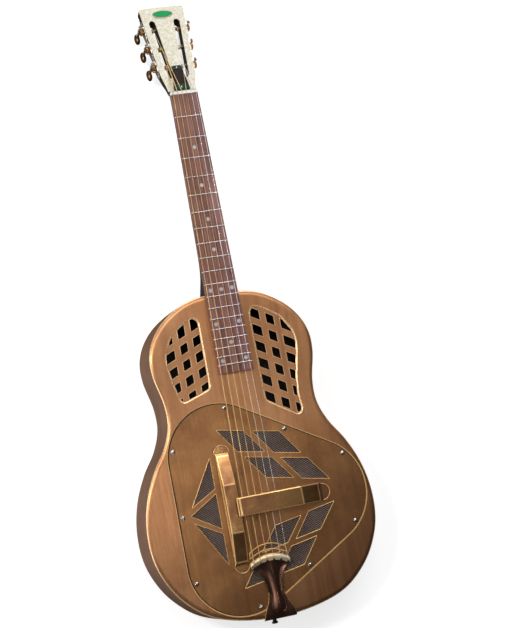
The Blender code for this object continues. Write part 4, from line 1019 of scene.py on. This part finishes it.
def neck_section(half, depth, squareness, sides=28):
    """The lower half of a rounded section, squarer as the squareness grows."""
    power = 2 / squareness
    return [(half * math.copysign(abs(across) ** power, across), -depth * abs(down) ** power)
            for across, down in arc(sides, math.pi)]


def build_neck():
    """Neck and head in one, with the head's slots, the tuner posts' holes and the truss rod's channel."""
    rings = []
    for y, half, depth, squareness in smooth_loop(SHAFT, 4, closed=False):
        rings.append([(x, y, DEPTH + z) for x, z in neck_section(half, depth, squareness)])
    for along, half, depth, squareness in HEAD_ROWS:
        section = neck_section(half, depth, squareness)
        rings.append([HEAD_MM @ Vector((x, along, z - HEAD_RECESS)) for x, z in section])
    cutters = [moved(plate_mesh("slot", [loop], -30, 10), HEAD_MM) for loop in head_slots()]
    for side in (-1, 1):
        for reach in POSTS:
            along = reach - POSTS[1]
            hole = tube_mesh("hole", [(side * 6, along, 0), (-side * 26.6, along, 0)], POST_HOLE, sides=20)
            cutters.append(moved(hole, HEAD_MM @ tuner_frame(side)))
    cutters.append(box_mesh("truss_channel", (-2.8, 336, 70.5), (2.8, 664, 90)))
    mesh = cut(loft_mesh("neck", rings), cutters)
    piece("neck_wood", mesh, MAHOGANY, ["neck"], slot="dark_mahogany", angle=38)


def build_head_face():
    """The pearl face sheet, the plain oval badge, and the rod cover with its trim and screws."""
    outline = [(half, along) for along, half, _, _ in HEAD_ROWS[:4]] + HEAD_TIP
    loops = [mirrored_loop(outline)] + head_slots(0.12) + [rectangle(-4, 12, 4, 27)]
    piece("headplate_sheet", plate_mesh("headplate", loops, -1.5, 0), [PEARLOID, PEARLOID], ["headplate"],
          slot="pearloid", matrix=HEAD, modifiers=[edge_bevel(0.35, 3)])
    badge = HEAD @ at_mm(0, 145.6, 0)
    crown = [[(x * share, y * BADGE_SQUASH * share, z) for x, y in circle((0, 0), 15.3, 48)]
             for share, z in ((1, GAP), (1, 0.75), (0.97, 1.0), (0.75, 1.12), (0.4, 1.18))]
    piece("head_badge_oval", loft_mesh("badge", crown), GREEN, ["head_badge"], slot="green_enamel",
          matrix=badge)
    rim = [(x, y * BADGE_SQUASH, 0.75) for x, y in circle((0, 0), 15.6, 64)]
    piece("head_badge_rim", tube_mesh("badge_rim", rim, 0.4, closed=True, sides=8), BADGE_RIM,
          slot="rest_brass", matrix=badge)
    cover = rounded_loop([(-13, 8.2), (13, 8.2), (7.8, 51.5), (-7.8, 51.5)], 2.5)
    piece("truss_rod_cover_plate", plate_mesh("rod_cover", [cover], GAP, 1.7), [BLACK, DARK_GREEN],
          ["truss_rod_cover"], slot="black_plate", matrix=HEAD, modifiers=[edge_bevel(0.7, 3)])
    bands = [rounded_loop([(-12, 9.4), (12, 9.4), (10.9, 18.5), (-10.9, 18.5)], 1.5),
             rounded_loop([(-7.9, 46), (7.9, 46), (7.3, 50.6), (-7.3, 50.6)], 1.2)]
    trims = [plate_mesh("band", [band], 1.72, 1.95) for band in bands]
    piece("rod_cover_trim", joined("trim", trims), [DARK_GREEN, GREEN], slot="green_enamel", matrix=HEAD,
          modifiers=[edge_bevel(0.1, 1)])
    dome = [(0, 2.75), (0.8, 2.6), (1.5, 2.1), (1.6, 1.97), (0, 1.96)]
    screws = [moved(turned_mesh("screw", dome, 20), Matrix.Translation((0, y, 0))) for y in (13.5, 47.6)]
    piece("rod_cover_screws", joined("screws", screws), SCREW, slot="screw_steel", matrix=HEAD)


def string_at(string, where):
    """Centre of a string sideways at the comb, the saddle or the nut."""
    share = string / 5 - 0.5
    lean = {"comb": -COMB_LEAN, "saddle": -COMB_LEAN * NUT_Y / NUT_TO_COMB, "nut": 0.0}[where]
    return share * (NUT_SPREAD if where == "nut" else SADDLE_SPREAD) + lean


def notched(mesh, where, ends, z, play):
    """A bar with a round notch under each string, running between the ends in Y."""
    return cut(mesh, [tube_mesh("notch", [(string_at(string, where), y, z) for y in ends], radius + play,
                                sides=12) for string, radius in enumerate(STRING_RADII)])


BOARD_END_Y = 201.5
BOARD_TOP = 86
FRETS = 19
FRET_HALF = 0.85
# Each dot's fret and its place across the board.
DOTS = [(3, 0), (5, 0), (7, 0), (9, 0), (17, 0), (12, -17), (12, 0), (12, 17), (15, -18), (15, 18),
        (19, -18.5), (19, 18.5)]


def build_nut():
    mesh = box_mesh("nut", (-21.4, NUT_Y + 0.02, 80.3), (21.4, NUT_Y + 4.58, 87.8))
    mesh = notched(mesh, "nut", (NUT_Y - 3, NUT_Y + 9), 87.75, 0.12)
    piece("nut_bone", mesh, [BONE, BONE], ["nut"], slot="bone", modifiers=[edge_bevel(0.45, 3, angle=50)])


def board_half(y):
    """Half width of the fretboard, which widens from the nut to its end."""
    return 21.3 + (NUT_Y - y) / (NUT_Y - BOARD_END_Y) * 6.0


def fret_y(number):
    """Place of a fret, by the rule of the twelfth root of two."""
    return NUT_Y - SCALE * (1 - 2 ** (-number / 12))


def build_fretboard():
    """The cambered board, its fret wires with painted highlights at their bright ends, and the pearl dots."""
    rows = []
    for y in np.linspace(BOARD_END_Y, NUT_Y - GAP, 40):
        half = board_half(y)
        left = [(-half, 80.3), (-half, 85.6), (-half + 0.4, BOARD_TOP)]
        middle = [(across * half, BOARD_TOP + 0.12 * (1 - across ** 2)) for across in (-0.6, -0.2, 0.2, 0.6)]
        rows.append([(x, y, z) for x, z in left + middle + [(-x, z) for x, z in reversed(left)]])
    piece("fretboard_wood", loft_mesh("board", rows), ROSEWOOD, ["fretboard"], slot="rosewood")
    frets, ends = [], []
    for number in range(1, FRETS + 1):
        y = fret_y(number)
        half = board_half(y) - 0.1
        stations = []
        for x, rise in ((-half, 0.5), (-half + 0.35, 0.86), (-half + 1, 1.0), (0, 1.1), (half - 1, 1.0),
                        (half - 0.35, 0.86), (half, 0.5)):
            crown = [(x, y - FRET_HALF * cosine, 85.98 + rise * 0.92 * sine ** 0.8)
                     for cosine, sine in arc(6, math.pi)]
            stations.append([(x, y - FRET_HALF, 85.9)] + crown + [(x, y + FRET_HALF, 85.9)])
        frets.append(loft_mesh("fret", stations))
        for x, radius in ((-half + 0.75, 1.05), (half - 0.6, 0.8)):
            tip = [(0, radius), (0.6 * radius, 0.8 * radius), (radius, 0.1), (radius, -0.4), (0, -0.4)]
            ends.append(moved(turned_mesh("fret_end", tip, 14), Matrix.Translation((x, y, 86.1))))
    piece("fret_wires", joined("frets", frets), FRET_METAL, slot="screw_steel")
    # The fret ends are a brighter metal than the frets: painted highlights.
    piece("fret_end_highlights", joined("fret_end_highlights", ends), STEEL, slot="screw_steel")
    disc = [(0, 86.22), (1.6, 86.21), (2.9, 86.16), (3.05, 86.05), (3.05, 85.7), (0, 85.7)]
    dots = []
    for number, x in DOTS:
        y = (fret_y(number) + fret_y(number - 1)) / 2
        dots.append(moved(turned_mesh("dot", disc, 28), Matrix.Translation((x, y, 0))))
    piece("fretboard_dots", joined("dots", dots), PEARL_DOT, slot="pearloid")


# ---- tuners -------------------------------------------------------------------------------------
def side_matrix(side):
    return HEAD @ tuner_frame(side, MM)


def on_wall(side, along):
    """Turns a flat plate's axes (along, up, out) to stand on a side wall of the head."""
    return Matrix(((0, 0, side, 0), (1, 0, 0, along), (0, 1, 0, 0), (0, 0, 0, 1)))


def build_tuner_plate(label, side):
    """The engraved strip with its round ears and the screws between the posts."""
    outline = []
    for edge in (1, -1):
        for step in range(PLATE_STEPS + 1):
            y = edge * PLATE_HALF * (2 * step / PLATE_STEPS - 1)
            ripple = 1.5 * math.cos(2 * math.pi * y / (POSTS[1] - POSTS[0]))
            taper = math.sqrt(max(0.0, 1 - (y / PLATE_HALF) ** 8))
            outline.append((y, -edge * (1.2 + (5.4 + ripple) * taper)))
    holes = [circle((reach - POSTS[1], 0), POST_HOLE, 24) for reach in POSTS]
    parts = [moved(plate_mesh("plate", [outline] + holes, GAP, 1.5), on_wall(side, 0))]
    for reach in POSTS:
        middle = reach - POSTS[1] + EAR_SETBACK
        for z in (4.2, -6.6):
            ear = [(1.0, -3.3), (4.5, -3.3)]
            ear += [(4.5 + 3.0 * cosine, 3.3 * sine) for cosine, sine in arc(12, math.pi, -math.pi / 2)[1:-1]]
            ear = [(side * x, middle + y) for x, y in ear + [(4.5, 3.3), (1.0, 3.3)]]
            parts.append(plate_mesh("ear", [ear, circle((side * 4.5, middle), 1.6, 20)], z, z + 2))
    dome = [(0, 2.3), (1.0, 2.15), (1.7, 1.75), (1.8, 1.52), (0, 1.5)]
    parts += [moved(turned_mesh("screw", dome, 18), on_wall(side, y)) for y in (-47.5, -16.75, 16.75, 47.5)]
    mesh = joined("plate", parts)
    with editing(mesh) as bm:
        bmesh.ops.recalc_face_normals(bm, faces=bm.faces)
    node = "tuner_plate_" + label
    piece(node + "_engraved", mesh, [ENGRAVED, ANTIQUE], [node], slot="antique_brass",
          matrix=side_matrix(side), modifiers=[edge_bevel(0.22, 2, angle=40)])


def gear_mesh(name, teeth, inner, outer, low, high):
    """A worm wheel: rounded teeth round a dished rim."""
    rings = []
    steps = teeth * 6
    for z, grow in ((low, -0.35), (low + 0.35, 0), ((low + high) / 2, -0.12), (high - 0.35, 0),
                    (high, -0.35)):
        ring = []
        for i, (x, y) in enumerate(circle((0, 0), 1, steps)):
            wave = 0.5 + 0.5 * math.cos(2 * math.pi * i / 6)
            radius = inner + (outer - inner) * min(1.0, wave * 1.5) + grow
            ring.append((radius * x, radius * y, z))
        rings.append(ring)
    return loft_mesh(name, rings)


def build_post(number, side, along):
    """A string post with its toothed wheel and the slotted screw that holds it."""
    screw = [(0, 7.3), (1.3, 7.2), (2.1, 6.9), (2.5, 6.5), (2.5, 6.2), (0, 6.2)]
    post = [(0, 2.7), (2.6, 2.7), (3.0, 2.4), (3, -10.4), (2.75, -10.9), (2.75, -11.6), (3, -12.1),
            (3, -25.9), (2.6, -26.3), (0, -26.3)]
    slot = box_mesh("slot", (-3, -0.35, 6.75), (3, 0.35, 9))
    screw_mesh = cut(turned_mesh("screw", screw, 24), [slot])
    hole = tube_mesh("hole", [(-6, 0, -14.5), (6, 0, -14.5)], 0.9, sides=12)
    post_mesh = cut(turned_mesh("post", post, 32), [hole])
    place = side_matrix(side) @ at_mm(0, along, 0) @ Matrix.Rotation(side * math.pi / 2, 4, "Y")
    node = "string_post_%d" % number
    common = dict(body="string_post_body_%d" % number, slot="antique_brass", matrix=place)
    piece(node + "_shaft", joined("post", [post_mesh, screw_mesh]), ANTIQUE, [node], **common)
    piece(node + "_wheel", gear_mesh("wheel", 14, 4.2, 5.2, 2.7, 6.2), AMBER, **common)


def build_button(number, side, along):
    """The worm, its knob and the oval button."""
    node = "tuner_button_%d" % number
    common = dict(body="tuner_button_body_%d" % number, slot="antique_brass",
                  matrix=side_matrix(side) @ at_mm(side * 4.5, along + EAR_SETBACK, 0))
    shaft = [(0, 7.4), (0.9, 7.35), (1.3, 7.0), (1.3, 4.0), (1.5, 3.9), (1.5, -4.1), (1.3, -4.3),
             (1.3, -12.4), (2.0, -12.8), (2.6, -13.6), (2.45, -15.2), (1.9, -16.6), (1.9, -23.4),
             (2.5, -24.2), (2.6, -25.4), (0, -25.6)]
    thread = []
    for i in range(WORM_TURNS * 20 + 1):
        angle = 2 * math.pi * i / 20
        z = 3.5 - WORM_LENGTH * i / (WORM_TURNS * 20)
        thread.append((1.55 * math.cos(angle), 1.55 * math.sin(angle), z))
    parts = [turned_mesh("shaft", shaft, 24), tube_mesh("thread", thread, 0.42, sides=8)]
    piece(node + "_worm", joined("worm", parts), ANTIQUE, [node], **common)
    rings = []
    for i in range(15):
        angle = math.pi * (i + 0.35) / 14.7
        share = max(math.sin(angle), 0.0) ** 0.72
        rings.append([(4.6 * share * x * (1 - 0.12 * (1 - abs(y))), 8.6 * share * y,
                       -31.5 + 7 * math.cos(angle)) for x, y in circle((0, 0), 1, 36)])
    piece(node + "_oval", loft_mesh("oval", rings), BUTTON, **common)


def build_tuners():
    for side, label in ((-1, "bass"), (1, "treble")):
        build_tuner_plate(label, side)
    for string, post in enumerate(STRING_POSTS, 1):
        for build in (build_post, build_button):
            build(string, -1 if string <= 3 else 1, POSTS[post] - POSTS[1])


# ---- strings ------------------------------------------------------------------------------------
COMB_END = -84
WRAP_RADIUS = 3.08
WRAP_TURNS = 3
# Rows of the tailpiece: y, half width, the ridge's half width, top, edge, depth of the row's arc.
TAIL_ROWS = [(-75, 31, 27, 87.5, 86.6, 9.5), (-77, 31, 27, 90.6, 89.2, 9.5), (-80.5, 31, 27, 91.4, 90, 9.5),
             (-84, 30.5, 25, 90.6, 87.5, 9.3), (-91, 26.5, 18.5, 90.2, 85.8, 6),
             (-98, 20.8, 13, 90, 85.4, 3.4), (-106, 16.8, 9.6, 89.8, 85.2, 1.4),
             (-116, 13.9, 7.6, 89.4, 85, 0),
             (-126, 12.7, 6.8, 89.2, 85, 0), (-131, 12.6, 6.6, 89.2, 85, 0), (-133.5, 9.6, 6.6, 89.2, 85, 0),
             (-142, 9.4, 7.4, 89.8, 85, 0), (-151, 10.8, 9.2, 90, 85, 0), (-158, 10.6, 8.8, 88.6, 85, 0),
             (-161.6, 7.8, 6, 86.9, 85, 0), (-163.1, 4, 3, 85.5, 84.9, 0)]


def tail_lean(y):
    """Sideways shift of the tailpiece, which points along the strings' own lean."""
    return -(0.8 + (y + 173) / 93 * 3.2)


def comb_arc(x):
    """How far the comb's arc falls back at a place across it."""
    return 9.5 * (x / 31) ** 2


def build_strings():
    """Each string from its ball end over the comb, saddle and nut to three turns round its post."""
    ball = [(0, 1.6), (1.1, 1.5), (1.75, 1.1), (2.0, 0.4), (2.0, -0.4), (1.75, -1.1), (1.1, -1.5), (0, -1.6)]
    (low, low_x), (high, high_x) = SLOT_ENDS
    for string, (radius, post) in enumerate(zip(STRING_RADII, STRING_POSTS)):
        side = -1 if string < 3 else 1
        comb_x, saddle_x, nut_x = (string_at(string, where) for where in ("comb", "saddle", "nut"))
        back = comb_arc(comb_x + COMB_LEAN)
        slot_x = low_x + (high_x - low_x) * (POSTS[post] - low) / (high - low)
        wrap = WRAP_RADIUS + radius
        land = Vector((side * (slot_x + POST_OFFSETS[post]), POSTS[post], -POST_DEPTH + WRAP_RADIUS + radius))
        path = [(comb_x, -84.6 - back, 90.6), (comb_x, -82 - back, 91.9), (comb_x, -78 - back, 91.5),
                (saddle_x, -1.6, 92.35), (saddle_x, 0, 92.5), (saddle_x, 1.6, 92.48),
                (nut_x, NUT_Y + 0.6, 87.78), (nut_x, NUT_Y + 3.2, 87.72), (nut_x, NUT_Y + 4.9, 87.3)]
        path = [Vector((x, y, z + radius)) for x, y, z in path] + [HEAD_MM @ land]
        inner = 1 if POST_OFFSETS[post] < 0 or post == 2 else -1
        local = tuner_frame(side).inverted() @ land
        for i in range(1, WRAP_TURNS * 20 + 1):
            angle = math.pi / 2 - 2 * math.pi * i / 20
            shift = side * inner * (2.15 * radius + 0.1) * i / 20
            point = Vector((local.x + shift, local.y + wrap * math.cos(angle), wrap * math.sin(angle)))
            path.append(HEAD_MM @ (tuner_frame(side) @ point))
        mat, slot = (WOUND, "wound_bronze") if string < 4 else (STEEL, "steel_wire")
        name = "string_%d" % (string + 1)
        piece(name + "_wire", tube_mesh("string", path, radius), mat, [name], slot=slot, angle=70)
        place = at_mm(comb_x, -84.9 - back, 91.9) @ Matrix.Rotation(math.pi / 2, 4, "Y")
        piece(name + "_ball_end", turned_mesh("ball", ball, 20), BALL, matrix=place, slot="black_plate")


# ---- tailpiece and saddle -----------------------------------------------------------------------
def ridge_height(x, half, ridge_half, top, edge):
    """A rounded ridge that runs into slightly upturned wings at the row's edges."""
    reach = abs(x)
    if reach < ridge_half:
        share = 0.5 + 0.5 * math.cos(math.pi * reach / ridge_half)
        return edge + (top - edge) * share ** 0.62
    wing = (reach - ridge_half) / max(half - ridge_half, 0.1)
    return edge + 0.9 * wing ** 2 * min(1.0, (half - ridge_half) / 5)


def build_tailpiece():
    """The ridged casting with its comb lightened as a painted highlight, and the wire loop across the
    strings.
    """
    rows = []
    for y, half, ridge_half, top, edge, depth in smooth_loop(TAIL_ROWS, 4, closed=False):
        top = min(top, 91.2) if y < -83 else top
        share = min(1.0, max(0.0, (COMB_END - y) / 5))
        row = []
        for i in range(41):
            across = -1 + i / 20
            x = across * half
            comb = edge + (top - edge) * math.cos(math.pi / 2 * min(1, abs(x) / ridge_half) ** 2)
            z = comb * (1 - share) + ridge_height(x, half, ridge_half, top, edge) * share
            row.append((x + tail_lean(y), y - depth * across ** 2, z))
        rows.append(row)
    mesh = facing_up(loft_mesh("tail", rows, cyclic=False, capped=False))
    for polygon in mesh.polygons:
        centre = polygon.center
        # The comb's band takes the lightened brass: a painted highlight.
        if centre.y > -100 and centre.y + comb_arc(centre.x - tail_lean(centre.y)) > -85.2:
            polygon.material_index = 1
    piece("tailpiece_cast", mesh, [DARK, COMB_HIGHLIGHT], ["tailpiece"], slot="dark_bronze", angle=50,
          modifiers=[shell(1.2), ("SUBSURF", dict(levels=1, render_levels=1))])
    loop = []
    for y, half, sign in ((-60, 28, 1), (-68.8, 29.5, -1)):
        for step in range(25):
            across = sign * (-1 + step / 12)
            loop.append((across * half + tail_lean(y), y - 9.5 * across ** 2, 88.2 - 1.2 * across ** 2))
    piece("tailpiece_wire_loop", tube_mesh("wire", loop, 0.8, closed=True, sides=12), GOLD_TRIM_AND_HIGHLIGHT,
          ["tailpiece_wire"], slot="rest_brass", angle=70)


def build_bracket():
    """The flared plate that hooks the tailpiece over the tail's rim, its hinge pin and the strap button."""
    stations = [(-127, 83.3, 10), (-136, 83.3, 12.6), (-143, 83.3, 14.2), (-150, 83.3, 17.2),
                (-158, 83.1, 21.4), (-165, 82.6, 24.4), (-169.2, 81.2, 25.1), (-171.8, 78.6, 25.3),
                (-172.9, 75, 25.1), (-173, 70, 24), (-173, 60, 19), (-173, 48, 14), (-173, 38, 11.5),
                (-173, 30, 9), (-173, 27, 6)]
    rows = []
    for y, z, half in smooth_loop(stations, 3, closed=False):
        rows.append([(across * half + tail_lean(y), y, z) for across in np.linspace(-1, 1, 13)])
    mesh = facing_up(loft_mesh("bracket", rows, cyclic=False, capped=False))
    # Its bevelled edges take the pale gold: a painted highlight.
    piece("tail_bracket_plate", mesh, [DARK, GOLD_TRIM_AND_HIGHLIGHT], ["tail_bracket"], slot="dark_bronze", angle=50,
          modifiers=[shell(1.2), edge_bevel(0.3, 2, angle=55)])
    pin = tube_mesh("pin", [(tail_lean(-150) + end, -150, 85) for end in (-6, 6)], 1.0, sides=14)
    piece("tail_hinge_pin_rod", pin, ANTIQUE, ["tail_hinge_pin"], slot="antique_brass")
    profile = [(0, 9.4), (1.8, 9.3), (3.6, 8.9), (4.7, 8.2), (4.9, 7.3), (4.7, 6.5), (3.8, 5.6), (3.1, 4.6),
               (3.0, 3.4), (3.5, 2.2), (4.4, 1.3), (4.6, 0.6), (4.5, 0.1), (2.2, 0), (2.2, -11.5), (0, -11.5)]
    place = at_mm(0, -173.3, 36) @ Matrix.Rotation(math.pi / 2, 4, "X")
    slot = box_mesh("slot", (-3.4, -0.4, 8.5), (3.4, 0.4, 12))
    piece("strap_button_turned", cut(turned_mesh("strap", profile, 40), [slot]), STRAP_BLACK,
          ["strap_button"], slot="black_plate", matrix=place)


def build_saddle():
    mesh = box_mesh("saddle", (-28.5, -2.5, 72.6), (28.5, 2.5, 92.3))
    mesh = notched(mesh, "saddle", (-6, 6), 92.55, 0.1)
    piece("saddle_wood", mesh, [MAPLE, MAPLE], ["saddle"], slot="maple",
          modifiers=[edge_bevel(0.4, 2, angle=50)])


# ---- stage, light and camera --------------------------------------------------------------------
# Glows of the studio: direction, the cosines where it starts and is full, strength.
WORLD_BASE = 0.05
WORLD_GLOWS = [((-0.3, 0.0, -0.95), 0.9, 1.0, 0.24), ((0.1, 0.9, 0.42), 0.5, 1.0, 0.6),
               ((-0.93, 0.05, 0.25), 0.7, 1.0, 0.8)]
# Lamps: place, aim, size, power.
LIGHTS = [("head_softbox", (0.25, 1.05, 1.5), (0.1, 0.35, 0.08), (1.0, 0.8), 8.5),
          ("bass_softbox", (0.11, 0.05, 1.5), (-0.17, 0.0, 0.08), (0.10, 0.32), 1.15),
          ("key", (-1.6, 0.9, 2.2), (0, 0.2, 0.04), (0.4, 0.4), 28),
          ("left_strip", (-2.0, 0.1, 0.55), (0, 0.1, 0.08), (1.6, 0.5), 8),
          ("head_strip", (0.45, 2.6, 0.45), (0, 0.1, 0.08), (1.6, 0.5), 26)]
# The fitted camera: sensor in millimetres, focal length and frame height in pixels.
SENSOR = 36
FOCAL_PIXELS = 1665.7
FRAME_HEIGHT = 628


def area_light(name, at, target, size, power):
    """A rectangular lamp, in metres and watts, that the camera doesn't see."""
    data = bpy.data.lights.new(name, "AREA")
    data.shape = "RECTANGLE"
    data.size, data.size_y = size
    data.energy = power
    obj = linked(name, data)
    obj.location = at
    obj.rotation_euler = (Vector(target) - Vector(at)).to_track_quat("-Z", "Y").to_euler()
    obj.visible_camera = False


def build_world():
    """A dark studio with a soft bright sky over the head and a faint patch of lit table below."""
    world = bpy.data.worlds.new("studio")
    g = Graph(world, "Background", "Generated")
    total = WORLD_BASE
    for direction, low, high, strength in WORLD_GLOWS:
        toward = g.node("ShaderNodeVectorMath", {0: g.place, 1: Vector(direction).normalized()},
                        operation="DOT_PRODUCT").outputs["Value"]
        glow = g.node("ShaderNodeMapRange", {"Value": toward, "From Min": low, "From Max": high,
                                             "To Min": 0.0, "To Max": strength},
                      interpolation_type="SMOOTHSTEP").outputs[0]
        total = g.math("ADD", glow, total)
    g.feed("Strength", total)
    g.main.inputs["Color"].default_value = (1, 1, 1, 1)
    bpy.context.scene.world = world


def build_stage():
    """The pale floor just under the back, the studio and its lamps."""
    bm = bmesh.new()
    bmesh.ops.create_grid(bm, x_segments=2, y_segments=2, size=6)
    mesh = bpy.data.meshes.new("floor")
    bm.to_mesh(mesh)
    bm.free()
    floor = linked("floor", mesh)
    floor.location = (0, 0.3, -0.0008)
    pale = Shader("pale_floor", (0.55, 0.55, 0.55), 0.9, Emission_Color=(1, 1, 1, 1), Emission_Strength=0.72,
                  Specular_IOR_Level=0.0)
    mesh.materials.append(pale.mat)
    floor.visible_glossy = False
    build_world()
    for lamp in LIGHTS:
        area_light(*lamp)


def build_camera():
    """The view of the reference: from above, a little towards the bass side."""
    data = bpy.data.cameras.new("camera")
    data.sensor_width = SENSOR
    data.sensor_fit = "AUTO"
    data.lens = FOCAL_PIXELS * SENSOR / FRAME_HEIGHT
    data.clip_end = 60
    camera = linked("camera", data)
    right, up, back = (0.9472, -0.1861, 0.2612), (0.1508, 0.9772, 0.1495), (-0.2831, -0.1022, 0.9536)
    rotation = Matrix((right, up, back)).transposed().to_4x4()
    camera.matrix_world = Matrix.Translation((-0.6735, 0.0238, 2.5071)) @ rotation
    bpy.context.scene.camera = camera
    bpy.context.scene.view_settings.view_transform = "Standard"


build_body()
build_grilles()
build_inside()
build_cover()
build_gauze()
build_screws()
build_hand_rest()
build_saddle()
build_neck()
build_head_face()
build_nut()
build_fretboard()
build_tuners()
build_strings()
build_tailpiece()
build_bracket()
build_stage()
build_camera()
